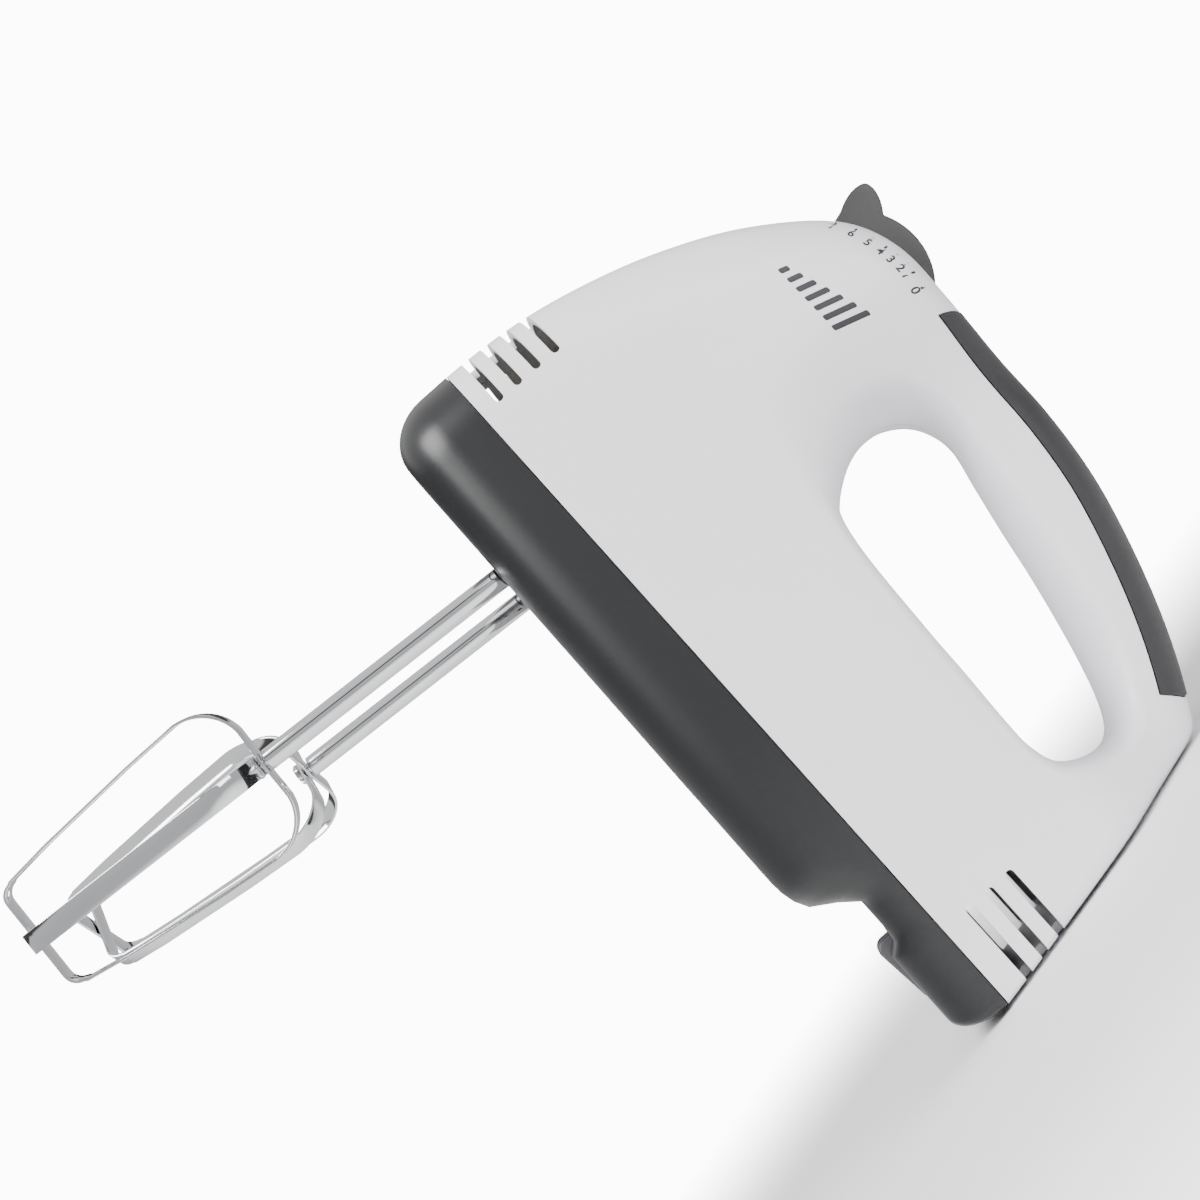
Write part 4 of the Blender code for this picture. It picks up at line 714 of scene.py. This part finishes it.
WHITE = white_abs()
CHARCOAL = charcoal_abs()
SLIDER = slider_abs()
GRIP = grip_rubber()
GLAND = gland_rubber()
CHROME = chromed_steel()
STEEL = plated_steel()
LAMINATION = stamped_laminations()
COPPER = enamelled_copper()
BRASS = turned_brass()
CARBON = pressed_carbon()
NYLON = natural_nylon()
PHENOLIC = black_phenolic()
INK = printing_ink()

NODE_FINISHES = {
    "spindle_bridge": STEEL, "motor_bracket": STEEL, "ejector_spring": STEEL, "slider_pin": STEEL,
    "motor_screw_left": STEEL, "motor_screw_right": STEEL, "armature_shaft": STEEL,
    "spindle_left": STEEL, "spindle_right": STEEL,
    "spindle_washer_left": STEEL, "spindle_washer_right": STEEL,
    "stator_core": LAMINATION, "armature_core": LAMINATION,
    "field_coil_left": COPPER, "field_coil_right": COPPER, "commutator": COPPER,
    "armature_winding_front": COPPER, "armature_winding_rear": COPPER,
    "front_bearing": BRASS, "rear_bearing": BRASS, "brush_holder_left": BRASS, "brush_holder_right": BRASS,
    "switch_contact": BRASS, "brush_left": CARBON, "brush_right": CARBON,
    "gear_frame": NYLON, "ejector_plate": NYLON, "cooling_fan": NYLON,
    "worm_wheel_left": NYLON, "worm_wheel_right": NYLON,
    "speed_switch": PHENOLIC, "suppression_capacitor": PHENOLIC,
}
for node_name, node_finish in NODE_FINISHES.items():
    node_mesh = frame["nodes"][node_name].data
    node_mesh.materials.clear()
    node_mesh.materials.append(node_finish)


# Casing -------------------------------------------------------------------------------------------

def grip_outline(grow, steps=60):
    """The grip's outline in side view: an even band along the handle's top, grown by a clearance."""
    lower = []
    for i in range(steps + 1):
        u = GRIP_FIRST_RIB + (GRIP_LAST_RIB - GRIP_FIRST_RIB) * i / steps
        here = rib_at(u)
        ahead = rib_at(u + 0.05)
        heading = Vector((ahead[0] - here[0], ahead[1] - here[1])).normalized()
        foot = Vector((here[0], here[1])) + Vector((heading.y, -heading.x)) * (GRIP_DEPTH + grow)
        lower.append((foot.x, foot.y))
    front = (GRIP_FRONT - grow, lower[0][1])
    rear = (GRIP_REAR + grow, 97.5)
    return [*lower, rear, (rear[0] + 2.0, 112.0), (front[0] + 60.0, 140.0), (front[0] + 6.0, 140.0), front]


def vent_cutters(side):
    """The slots of one half, around the nose and at the heel."""
    cutters = []
    for i in range(NOSE_VENT_COUNT):
        z = NOSE_VENT_FIRST + i * VENT_PITCH
        cutters.append(rounded_slot(-10.0, NOSE_VENT_END, z, VENT_HEIGHT, NOSE_VENT_BAR, BODY_WIDTH))
    for i in range(HEEL_VENT_COUNT):
        z = HEEL_VENT_FIRST + i * VENT_PITCH + (HEEL_VENT_LIFT if side > 0.0 else 0.0)
        cutters.append(rounded_slot(HEEL_X + 20.0, HEEL_VENT_START, z, VENT_HEIGHT, HEEL_VENT_SIDE,
                                    BODY_WIDTH))
    return [('DIFFERENCE', flipped(cutter, side)) for cutter in cutters]


def screw_posts(side):
    """A post for each case screw, from the parting plane into the wall."""
    radius = SCREW_RADIUS + GAP + BOSS_WALL
    posts = []
    for x, z in CASE_SCREWS:
        bm = bmesh.new()
        bmesh.ops.create_cone(bm, cap_ends=True, segments=32, radius1=radius, radius2=radius, depth=2.0)
        for vert in bm.verts:
            px, pz = x + vert.co.x, z + vert.co.y
            vert.co = (px, GAP / 2.0 if vert.co.z < 0.0 else skin_y(px, pz) - WALL / 2.0, pz)
        bmesh.ops.recalc_face_normals(bm, faces=bm.faces)
        posts.append(bm)
    return flipped(gather(posts), side)


def screw_spaces(side):
    """The holes for the case screws: blind on the left, with a wide well for the head on the right."""
    hole = SCREW_RADIUS + GAP
    profile = [(0.0, -1.0), (hole, -1.0), (hole, SCREW_DEPTH), (0.0, SCREW_DEPTH)]
    if side > 0.0:
        well = SCREW_HEAD_RADIUS + GAP
        profile = [(0.0, -1.0), (hole, -1.0), (hole, SCREW_SEAT), (well, SCREW_SEAT), (well, BODY_WIDTH),
                   (0.0, BODY_WIDTH)]
    return flipped(gather([turned(profile, 32, 'Y', (x, 0.0, z)) for x, z in CASE_SCREWS]), side)


def drum_space_outline():
    """The slider slot in side view: a sector around the pivot that ends just in front of the fin."""
    reach = DRUM_RADIUS + SLIDER_CLEARANCE
    front = FIN_ANGLE + FIN_HALF_ANGLE + math.degrees(SLIDER_CLEARANCE / DRUM_RADIUS) * 2.0
    turns = [math.radians(-70.0 + (front + 70.0) * i / 80.0) for i in range(81)]
    arc = [(SLIDER_X + reach * math.cos(turn), SLIDER_Z + reach * math.sin(turn)) for turn in turns]
    return [*arc, (arc[-1][0], SLIDER_Z - SLOT_DROP), (SLIDER_X, SLIDER_Z - SLOT_DROP)]


def make_housing(name, side):
    """One half of the casing: wall, posts, grip recess, slider slot, screw holes and vents."""
    low = (-20.0, -1.0, -60.0)
    high = (HEEL_X + 40.0, BODY_WIDTH, SEAM_HEIGHT + GAP / 2.0)
    slot_half = DRUM_WIDTH / 2.0 + SLIDER_CLEARANCE
    drum_space = plate(drum_space_outline(), -slot_half, slot_half, 'Y')
    bm = carve(flipped(half_shell(), side), [
        ('UNION', screw_posts(side)),
        ('DIFFERENCE', flipped(block(low, high), side)),
        ('DIFFERENCE', plate(grip_outline(GAP), -BODY_WIDTH, BODY_WIDTH, 'Y')),
        ('DIFFERENCE', drum_space),
        ('DIFFERENCE', screw_spaces(side)),
        *vent_cutters(side),
    ])
    return add_piece(name + "_moulding", bm, STAND, WHITE, "casing", [name])


def make_grip():
    """The dark strip along the handle: two halves of a thicker skin, a little proud, joined in the middle."""
    halves = []
    for side in (1.0, -1.0):
        extent = plate(grip_outline(0.0), -BODY_WIDTH, BODY_WIDTH, 'Y')
        shell = half_shell(-GRIP_PROUD, GRIP_WALL, 0.004)
        halves.append(flipped(carve(shell, [('INTERSECT', extent)]), side))
    bm = gather(halves)
    middle = [vert for vert in bm.verts if abs(vert.co.y) < 0.01]
    for vert in middle:
        vert.co.y = 0.0
    bmesh.ops.remove_doubles(bm, verts=middle, dist=0.002)
    inner = [face for face in bm.faces if all(abs(vert.co.y) < 0.001 for vert in face.verts)]
    bmesh.ops.delete(bm, geom=inner, context='FACES')
    return add_piece("grip_saddle", bm, STAND, GRIP, "casing", ["handle_grip"])


def base_place(start, row, arc_steps, rows, inset):
    """A point of the base cover: down from the seam, around a rolled edge and in along the underside."""
    centre = Vector((min(HEEL_X - 18.0, max(28.0, start.x)), 0.0))
    reach = (centre - start).length
    inward = (centre - start) / reach if reach > 0.001 else Vector((0.0, 0.0))
    corner = min(TUB_CORNER, (SEAM_HEIGHT - floor_height(start.x)) * 0.85)
    turn = math.pi / 2.0 * max(0, min(row - 1, arc_steps)) / arc_steps
    step_in = inset + (corner - inset) * (1.0 - math.cos(turn))
    up = (corner - inset) * (1.0 - math.sin(turn)) + inset
    if row > arc_steps + 1:
        step_in = corner + (reach - corner) * (row - arc_steps - 1) / (rows - arc_steps - 1)
    spot = start + inward * min(step_in, reach)
    return spot.x, spot.y, SEAM_HEIGHT - GAP / 2.0 if row == 0 else floor_height(spot.x) + up


def base_shell():
    """The base cover as a closed wall: from its middle out to the seam, and back along its inside."""
    arc_steps = 12
    rows = arc_steps + 8
    side = seam_outline(110)
    loop = side + [(x, -y) for x, y in side[-2:0:-1]]
    bm = bmesh.new()
    bmesh.ops.create_grid(bm, x_segments=len(loop), y_segments=2 * rows + 1, size=1.0)
    for vert in bm.verts:
        start = Vector(loop[round((vert.co.x + 1.0) / 2.0 * len(loop)) % len(loop)])
        row = round((vert.co.y + 1.0) / 2.0 * (2 * rows + 1))
        if row <= rows:
            vert.co = base_place(start, rows - row, arc_steps, rows, 0.0)
        else:
            vert.co = base_place(start, row - rows - 1, arc_steps, rows, WALL)
    bmesh.ops.remove_doubles(bm, verts=bm.verts, dist=0.0005)
    bmesh.ops.recalc_face_normals(bm, faces=bm.faces)
    bmesh.ops.triangulate(bm, faces=bm.faces)
    return bm


def in_drive(bm):
    """Leans a bmesh of the drive's frame into the design frame."""
    bm.transform(Matrix.Translation((SPINDLE_X, 0.0, 0.0)) @ Matrix.Rotation(DRIVE_LEAN, 4, 'Y'))
    return bm


def make_base():
    """The dark base cover with its posts, screw wells, shaft openings and the notch for the gland."""
    posts = []
    spaces = []
    for x, y, top in BASE_SCREWS:
        floor = x * math.tan(DRIVE_LEAN)
        wide = SCREW_HEAD_RADIUS + GAP
        posts.append(rod(wide + WELL_WALL, floor + WALL / 2.0, top - GAP, 32, 'Z', (x, y, 0.0)))
        hole = SCREW_RADIUS + GAP
        well = [(0.0, floor - 8.0), (wide, floor - 8.0), (wide, floor + BASE_SEAT),
                (hole, floor + BASE_SEAT), (hole, floor + 20.0), (0.0, floor + 20.0)]
        spaces.append(turned(well, 32, 'Z', (x, y, 0.0)))
    opening = SHAFT_RADIUS + SHAFT_HOLE_CLEARANCE
    openings = []
    for side in (-1.0, 1.0):
        centre = (0.0, side * SPINDLE_SPACING / 2.0, 0.0)
        profile = [(0.0, -6.0), (opening + 1.0, -6.0), (opening + 1.0, 0.2), (opening, 1.0),
                   (opening, WALL + 3.0), (0.0, WALL + 3.0)]
        openings.append(turned(profile, 48, 'Z', centre))
        groove = [(RING_INNER, -6.0), (RING_OUTER, -6.0), (RING_OUTER, RING_DEPTH), (RING_INNER, RING_DEPTH)]
        openings.append(turned(groove, 64, 'Z', centre))
    notch = block((GLAND_FROM - GAP, -GLAND_WIDTH / 2.0 - GAP, HEEL_FLOOR - 20.0),
                  (GLAND_TO + GAP, GLAND_WIDTH / 2.0 + GAP, HEEL_FLOOR + WALL + 2.0))
    bm = carve(base_shell(), [
        ('UNION', in_drive(gather(posts))),
        ('DIFFERENCE', in_drive(gather(spaces))),
        ('DIFFERENCE', in_drive(gather(openings))),
        ('DIFFERENCE', notch),
    ])
    return add_piece("base_moulding", bm, STAND, CHARCOAL, "casing", ["base_cover"])


def make_gland():
    """The grey gland under the heel, rounded in front, with the bore that the mains cord comes out of."""
    top = HEEL_FLOOR + WALL + GLAND_SEAT
    arc = []
    for i in range(13):
        turn = math.pi + math.pi / 2.0 * i / 12.0
        arc.append((GLAND_FROM + GLAND_CORNER + GLAND_CORNER * math.cos(turn),
                    GLAND_LOW + GLAND_CORNER + GLAND_CORNER * math.sin(turn)))
    outline = [(GLAND_FROM, top), *arc, (GLAND_TO, GLAND_LOW + GLAND_RISE), (GLAND_TO, top)]
    bm = soften(plate(outline, -GLAND_WIDTH / 2.0, GLAND_WIDTH / 2.0, 'Y'), GLAND_EDGE, 3)
    middle = (GLAND_LOW + HEEL_FLOOR + WALL) / 2.0 + 0.3
    profile = [(0.0, -4.0), (CORD_MOUTH, -4.0), (CORD_MOUTH, 0.0), (CORD_RADIUS, CORD_MOUTH_DEPTH),
               (CORD_RADIUS, CORD_DEPTH), (0.0, CORD_DEPTH)]
    bm = carve(bm, [('DIFFERENCE', turned(profile, 48, 'X', (GLAND_FROM, 0.0, middle)))])
    return add_piece("gland_moulding", bm, STAND, GLAND, "casing", ["cord_gland"])


# Slider -------------------------------------------------------------------------------------------

def polar(radius, degrees):
    """A point around the slider's pivot."""
    turn = math.radians(degrees)
    return radius * math.cos(turn), radius * math.sin(turn)


def slider_outline():
    """The slider in side view about its pivot: the drum's arc, the full fin, the skirt and the hub."""
    first = FIN_ANGLE - FIN_HALF_ANGLE
    points = [polar(DRUM_RADIUS, DRUM_FROM + (first - DRUM_FROM) * i / 40.0) for i in range(40)]
    for i in range(41):
        share = i / 20.0 - 1.0
        lift = FIN_HEIGHT * (1.0 - abs(share) ** FIN_FULLNESS)
        points.append(polar(DRUM_RADIUS + lift, FIN_ANGLE + FIN_HALF_ANGLE * share))
    points += [polar(TOE_RADIUS, TOE_ANGLE)]
    points += [polar(SKIRT_RADIUS, SKIRT_FROM + (DRUM_TO - SKIRT_FROM) * i / 24.0) for i in range(25)]
    points += [polar(HUB_RADIUS, DRUM_TO + (360.0 + DRUM_FROM - DRUM_TO) * i / 24.0) for i in range(25)]
    return points


def make_slider():
    """The speed slider: drum, fin and bore, with softly rounded edges."""
    bm = soften(plate(slider_outline(), -DRUM_WIDTH / 2.0, DRUM_WIDTH / 2.0, 'Y'), 0.8, 3, 60.0)
    bore = rod(SLIDER_PIN_RADIUS + GAP, -DRUM_WIDTH, DRUM_WIDTH, 32, 'Y')
    place = STAND @ Matrix.Translation((SLIDER_X, 0.0, SLIDER_Z))
    bm = carve(bm, [('DIFFERENCE', bore)])
    return add_piece("slider_drum", bm, place, SLIDER, "slider", ["speed_slider"])


# Beaters ------------------------------------------------------------------------------------------

def head_path(inset):
    """One strip's path in its own plane, from its middle on top, around one side, to its middle below."""
    top = -CROSSING_DROP - inset
    bottom = -CROSSING_DROP - HEAD_LENGTH + inset
    widest = HEAD_RADIUS - inset
    tip = HEAD_TIP_RADIUS - inset
    shoulder = 12.0
    points = [(0.0, top), (widest * 0.12, top + 0.1), (widest * 0.3, top + 0.2)]
    for i in range(1, 15):
        turn = math.pi / 2.0 * i / 14.0
        points.append((widest * (0.42 + 0.58 * math.sin(turn)),
                       top + 0.3 - shoulder * (1.0 - math.cos(turn))))
    corner = 4.0
    slope = (widest - tip) / (top - shoulder - bottom)
    for down in (4.0, 8.0, 14.0, 20.0, 30.0, 40.0):
        points.append((widest - slope * down + 0.5 * min(1.0, down / 14.0), top - shoulder - down))
    points.append((tip + slope * corner, bottom + corner))
    for i in range(1, 9):
        turn = math.pi / 2.0 * i / 8.0
        points.append((tip - corner * (1.0 - math.cos(turn)), bottom + corner * (1.0 - math.sin(turn))))
    points += [(tip * 0.5, bottom), (0.0, bottom)]
    return points


def make_strip(name, inset, turn, place, body, node):
    """A flat strip bent into a closed loop: two opposite blades of a beater."""
    side = head_path(inset)
    loop = side + [(-x, z) for x, z in side[-2:0:-1]]
    count = len(loop)
    bm = bmesh.new()
    bmesh.ops.create_grid(bm, x_segments=count, y_segments=2, size=1.0)
    for vert in bm.verts:
        x, z = loop[round((vert.co.x + 1.0) / 2.0 * count) % count]
        vert.co = (x, vert.co.y * STRIP_WIDTH / 2.0, z)
    bmesh.ops.remove_doubles(bm, verts=bm.verts, dist=0.001)
    bmesh.ops.recalc_face_normals(bm, faces=bm.faces)
    centre = Vector((0.0, 0.0, -CROSSING_DROP - HEAD_LENGTH / 2.0))
    if sum(face.normal.dot(face.calc_center_median() - centre) for face in bm.faces) < 0.0:
        bmesh.ops.reverse_faces(bm, faces=bm.faces)
    bmesh.ops.solidify(bm, geom=bm.faces[:], thickness=STRIP_THICK)
    soften(bm, 0.22, 2, 50.0)
    hole = rod(TENON_RADIUS + GAP, -CROSSING_DROP - 6.0, -CROSSING_DROP + 4.0, 24)
    bm = carve(bm, [('DIFFERENCE', hole)])
    bmesh.ops.rotate(bm, matrix=Matrix.Rotation(turn, 3, 'Z'), verts=bm.verts)
    return add_piece(name, bm, place, CHROME, body, [node])


def make_beater(side_name, side, turn):
    """One beater: a shaft with a thin tenon below, two crossed strips and the rivet that holds them."""
    place = DRIVE @ Matrix.Translation((0.0, side * SPINDLE_SPACING / 2.0, 0.0))
    body = side_name + "_beater"
    low = -CROSSING_DROP + GAP + 0.5
    second = STRIP_THICK + GAP
    tenon_end = -CROSSING_DROP - second - STRIP_THICK - 1.4
    profile = [
        (0.0, tenon_end), (TENON_RADIUS - 0.2, tenon_end), (TENON_RADIUS, tenon_end + 0.2),
        (TENON_RADIUS, low), (SHAFT_RADIUS - 0.15, low), (SHAFT_RADIUS, low + 0.15),
        (SHAFT_RADIUS, SHAFT_TOP - 1.5), (SHAFT_RADIUS - 0.9, SHAFT_TOP), (0.0, SHAFT_TOP),
    ]
    add_piece("shaft_" + side_name, turned(profile, 64), place, CHROME, body,
              ["beater_shaft_" + side_name])
    make_strip("blades_a_" + side_name, 0.0, turn, place, body, "outer_blades_" + side_name)
    make_strip("blades_b_" + side_name, second, turn + math.pi / 2.0, place, body,
               "inner_blades_" + side_name)
    top = -CROSSING_DROP - second - STRIP_THICK - GAP
    inner = TENON_RADIUS + GAP
    outer = TENON_RADIUS + 1.7
    profile = [(inner, top - 1.1), (outer - 0.5, top - 1.1), (outer, top - 0.6), (outer, top), (inner, top)]
    add_piece("rivet_" + side_name, turned(profile, 40), place, CHROME, body,
              ["blade_rivet_" + side_name])


# Screws and prints --------------------------------------------------------------------------------

def cross_screw(length):
    """A pan-head screw along z with a cross recess, its head's seat at the origin."""
    head = SCREW_HEAD_HEIGHT
    profile = [(0.0, -head), (SCREW_HEAD_RADIUS * 0.55, -head * 0.97), (SCREW_HEAD_RADIUS * 0.85, -head * 0.78),
               (SCREW_HEAD_RADIUS, -head * 0.4), (SCREW_HEAD_RADIUS, 0.0), (SCREW_RADIUS, 0.0),
               (SCREW_RADIUS, length - 1.0), (0.4, length), (0.0, length)]
    arm = SCREW_HEAD_RADIUS * 0.55
    recess = [block((-arm, -0.35, -head - 1.0), (arm, 0.35, -head * 0.35)),
              block((-0.35, -arm, -head - 1.0), (0.35, arm, -head * 0.35))]
    return carve(turned(profile, 32), [('DIFFERENCE', bm) for bm in recess])


def make_screws():
    """The case screws in the right half's wells, and the base screws in the underside."""
    to_side = Matrix.Rotation(math.pi / 2.0, 4, 'X')
    for index, (x, z) in enumerate(CASE_SCREWS):
        place = STAND @ Matrix.Translation((x, SCREW_SEAT + GAP, z)) @ to_side
        screw = cross_screw(SCREW_SEAT + SCREW_DEPTH - 3.0)
        add_piece("case_screw_cross_%d" % (index + 1), screw, place, STEEL, "casing",
                  ["case_screw_%d" % (index + 1)])
    for index, (x, y, top) in enumerate(BASE_SCREWS):
        floor = x * math.tan(DRIVE_LEAN)
        place = DRIVE @ Matrix.Translation((x, y, floor + BASE_SEAT - GAP))
        add_piece("base_screw_cross_%d" % (index + 1), cross_screw(top + 1.0 - floor), place, STEEL,
                  "casing", ["base_screw_%d" % (index + 1)])


INK_HEIGHT = 0.05
SCALE_MARKS = [(40.2, 113.4), (45.0, 115.2), (49.6, 116.2), (53.4, 116.8), (56.6, 117.1), (59.8, 117.3),
               (62.3, 117.1), (66.4, 116.2)]


def flat_text(word, size):
    """Digits as a thin solid in the xy plane, centred on the origin."""
    curve = bpy.data.curves.new("word", 'FONT')
    curve.body = word
    curve.size = size
    curve.align_x = 'CENTER'
    curve.align_y = 'CENTER'
    curve.offset = DIGIT_WEIGHT
    thing = bpy.data.objects.new("word", curve)
    bpy.context.scene.collection.objects.link(thing)
    bpy.context.view_layer.update()
    mesh = bpy.data.meshes.new_from_object(thing.evaluated_get(bpy.context.evaluated_depsgraph_get()))
    bm = bmesh.new()
    bm.from_mesh(mesh)
    bpy.data.meshes.remove(mesh)
    bpy.data.objects.remove(thing)
    bpy.data.curves.remove(curve)
    bmesh.ops.remove_doubles(bm, verts=bm.verts, dist=0.0005)
    bmesh.ops.translate(bm, vec=(0.0, 0.0, -INK_HEIGHT), verts=bm.verts)
    grown = bmesh.ops.extrude_face_region(bm, geom=bm.faces[:])
    upper = [item for item in grown["geom"] if isinstance(item, bmesh.types.BMVert)]
    bmesh.ops.translate(bm, vec=(0.0, 0.0, 2.0 * INK_HEIGHT), verts=upper)
    bmesh.ops.recalc_face_normals(bm, faces=bm.faces)
    return bm


def on_left_side(bm, x, z, turn):
    """Turns a flat print, moves it to its place in side view and lays it on the left side."""
    bmesh.ops.rotate(bm, matrix=Matrix.Rotation(turn, 3, 'Z'), verts=bm.verts)
    for vert in bm.verts:
        px, pz = x + vert.co.x, z + vert.co.y
        vert.co = (px, -skin_y(px, pz) - vert.co.z, pz)
    bmesh.ops.recalc_face_normals(bm, faces=bm.faces)
    return bm


def rounded_bar(width, height):
    """A small printed bar, leaning a little, standing on the origin."""
    bm = block((-width / 2.0, 0.0, -INK_HEIGHT), (width / 2.0, height, INK_HEIGHT))
    bmesh.ops.bevel(bm, geom=[e for e in bm.edges if abs(e.verts[0].co.z - e.verts[1].co.z) > INK_HEIGHT],
                    offset=width * 0.3, offset_type='OFFSET', segments=3, profile=0.5, affect='EDGES',
                    clamp_overlap=True, material=-1)
    for vert in bm.verts:
        vert.co.x += vert.co.y * 0.25
    return bm


def make_prints():
    """The speed scale by the slider and a plain rising row of bars, all on the left side."""
    scale = []
    for index, (x, z) in enumerate(SCALE_MARKS):
        before = SCALE_MARKS[max(0, index - 1)]
        after = SCALE_MARKS[min(len(SCALE_MARKS) - 1, index + 1)]
        turn = math.atan2(after[1] - before[1], after[0] - before[0])
        tick = block((-TICK_HALF_WIDTH, -TICK_HALF_HEIGHT, -INK_HEIGHT),
                     (TICK_HALF_WIDTH, TICK_HALF_HEIGHT, INK_HEIGHT))
        scale.append(on_left_side(tick, x, z, turn))
        digit = flat_text(str(len(SCALE_MARKS) - 1 - index), DIGIT_SIZE)
        digit_x = x + DIGIT_DROP * math.sin(turn)
        digit_z = z - DIGIT_DROP * math.cos(turn)
        scale.append(on_left_side(digit, digit_x, digit_z, turn))
    add_piece("speed_scale", gather(scale), STAND, INK, "casing")
    bars = []
    for index in range(BAR_COUNT):
        bar = rounded_bar(BAR_WIDTH, BAR_FIRST_HEIGHT + BAR_GROWTH * index)
        bars.append(on_left_side(bar, BAR_X + BAR_PITCH * index, BAR_Z, 0.0))
    add_piece("speed_bars", gather(bars), STAND, INK, "casing")


# Studio -------------------------------------------------------------------------------------------

def studio_floor():
    """Matt off-white studio floor that fades into the white of the studio."""
    made, tree, shader = finish_of("studio_floor", 0.7)
    shader.inputs["Base Color"].default_value = linear("#f6f6f6")
    place = add_node(tree, 'ShaderNodeTexCoord', {}).outputs["Object"]
    away = add_node(tree, 'ShaderNodeVectorMath', {"operation": 'LENGTH'}, {0: place})
    fade = add_node(tree, 'ShaderNodeMapRange', {"interpolation_type": 'SMOOTHSTEP', "From Min": 0.12,
                                                 "From Max": 0.75}, {"Value": away.outputs["Value"]})
    clear = add_node(tree, 'ShaderNodeBsdfTransparent', {})
    both = add_node(tree, 'ShaderNodeMixShader', {}, {0: fade.outputs[0], 1: shader.outputs[0],
                                                      2: clear.outputs[0]})
    tree.links.new(both.outputs[0], tree.nodes["Material Output"].inputs["Surface"])
    return made


def area_light(name, place, aim, size, power):
    """A square soft box."""
    light = bpy.data.lights.new(name, 'AREA')
    light.shape = 'RECTANGLE'
    light.size = size[0]
    light.size_y = size[1]
    light.energy = power
    thing = bpy.data.objects.new(name, light)
    bpy.context.scene.collection.objects.link(thing)
    thing.location = place
    thing.rotation_mode = 'QUATERNION'
    thing.rotation_quaternion = (Vector(aim) - Vector(place)).to_track_quat('-Z', 'Y')


def make_studio():
    """A pale floor under a soft white sky with one dark band, and two large soft boxes."""
    bm = bmesh.new()
    bmesh.ops.create_circle(bm, cap_ends=True, segments=96, radius=40.0)
    bmesh.ops.translate(bm, vec=(0.0, 0.0, -0.0003), verts=bm.verts)
    mesh = bpy.data.meshes.new("studio_floor")
    bm.to_mesh(mesh)
    bm.free()
    mesh.materials.append(studio_floor())
    floor = bpy.data.objects.new("studio_floor", mesh)
    bpy.context.scene.collection.objects.link(floor)
    world = bpy.data.worlds.new("soft_sky")
    world.use_nodes = True
    bpy.context.scene.world = world
    tree = world.node_tree
    sky = tree.nodes["Background"]
    place = add_node(tree, 'ShaderNodeTexCoord', {}).outputs["Generated"]
    height = add_node(tree, 'ShaderNodeSeparateXYZ', {}, {0: place})
    ramp_node = add_node(tree, 'ShaderNodeValToRGB', {}, {0: height.outputs[2]})
    stops = ramp_node.color_ramp.elements
    stops[0].position, stops[0].color = 0.0, (0.62, 0.62, 0.63, 1.0)
    stops[1].position, stops[1].color = 1.0, (1.0, 1.0, 1.0, 1.0)
    for position, grey in ((0.3, 0.7), (0.36, 0.06), (0.5, 0.1), (0.56, 0.9)):
        stop = stops.new(position)
        stop.color = (grey, grey, grey, 1.0)
    tree.links.new(ramp_node.outputs[0], sky.inputs[0])
    sky.inputs[1].default_value = SKY_STRENGTH
    white = add_node(tree, 'ShaderNodeBackground', {"Strength": WHITE_STRENGTH})
    white.inputs[0].default_value = (1.0, 1.0, 1.0, 1.0)
    path = add_node(tree, 'ShaderNodeLightPath', {})
    seen = add_node(tree, 'ShaderNodeMixShader', {}, {0: path.outputs["Is Camera Ray"], 1: sky.outputs[0],
                                                      2: white.outputs[0]})
    tree.links.new(seen.outputs[0], tree.nodes["World Output"].inputs["Surface"])
    area_light("key_box", (0.5, 0.8, 1.1), (0.0, 0.0, 0.1), (0.9, 0.9), KEY_POWER)
    area_light("fill_box", (-0.9, 0.9, 0.5), (0.0, 0.0, 0.1), (0.8, 0.8), FILL_POWER)


make_studio()
make_housing("housing_left", -1.0)
make_housing("housing_right", 1.0)
make_grip()
make_base()
make_gland()
make_slider()
make_beater("left", -1.0, LEFT_BLADE_TURN)
make_beater("right", 1.0, RIGHT_BLADE_TURN)
make_screws()
make_prints()
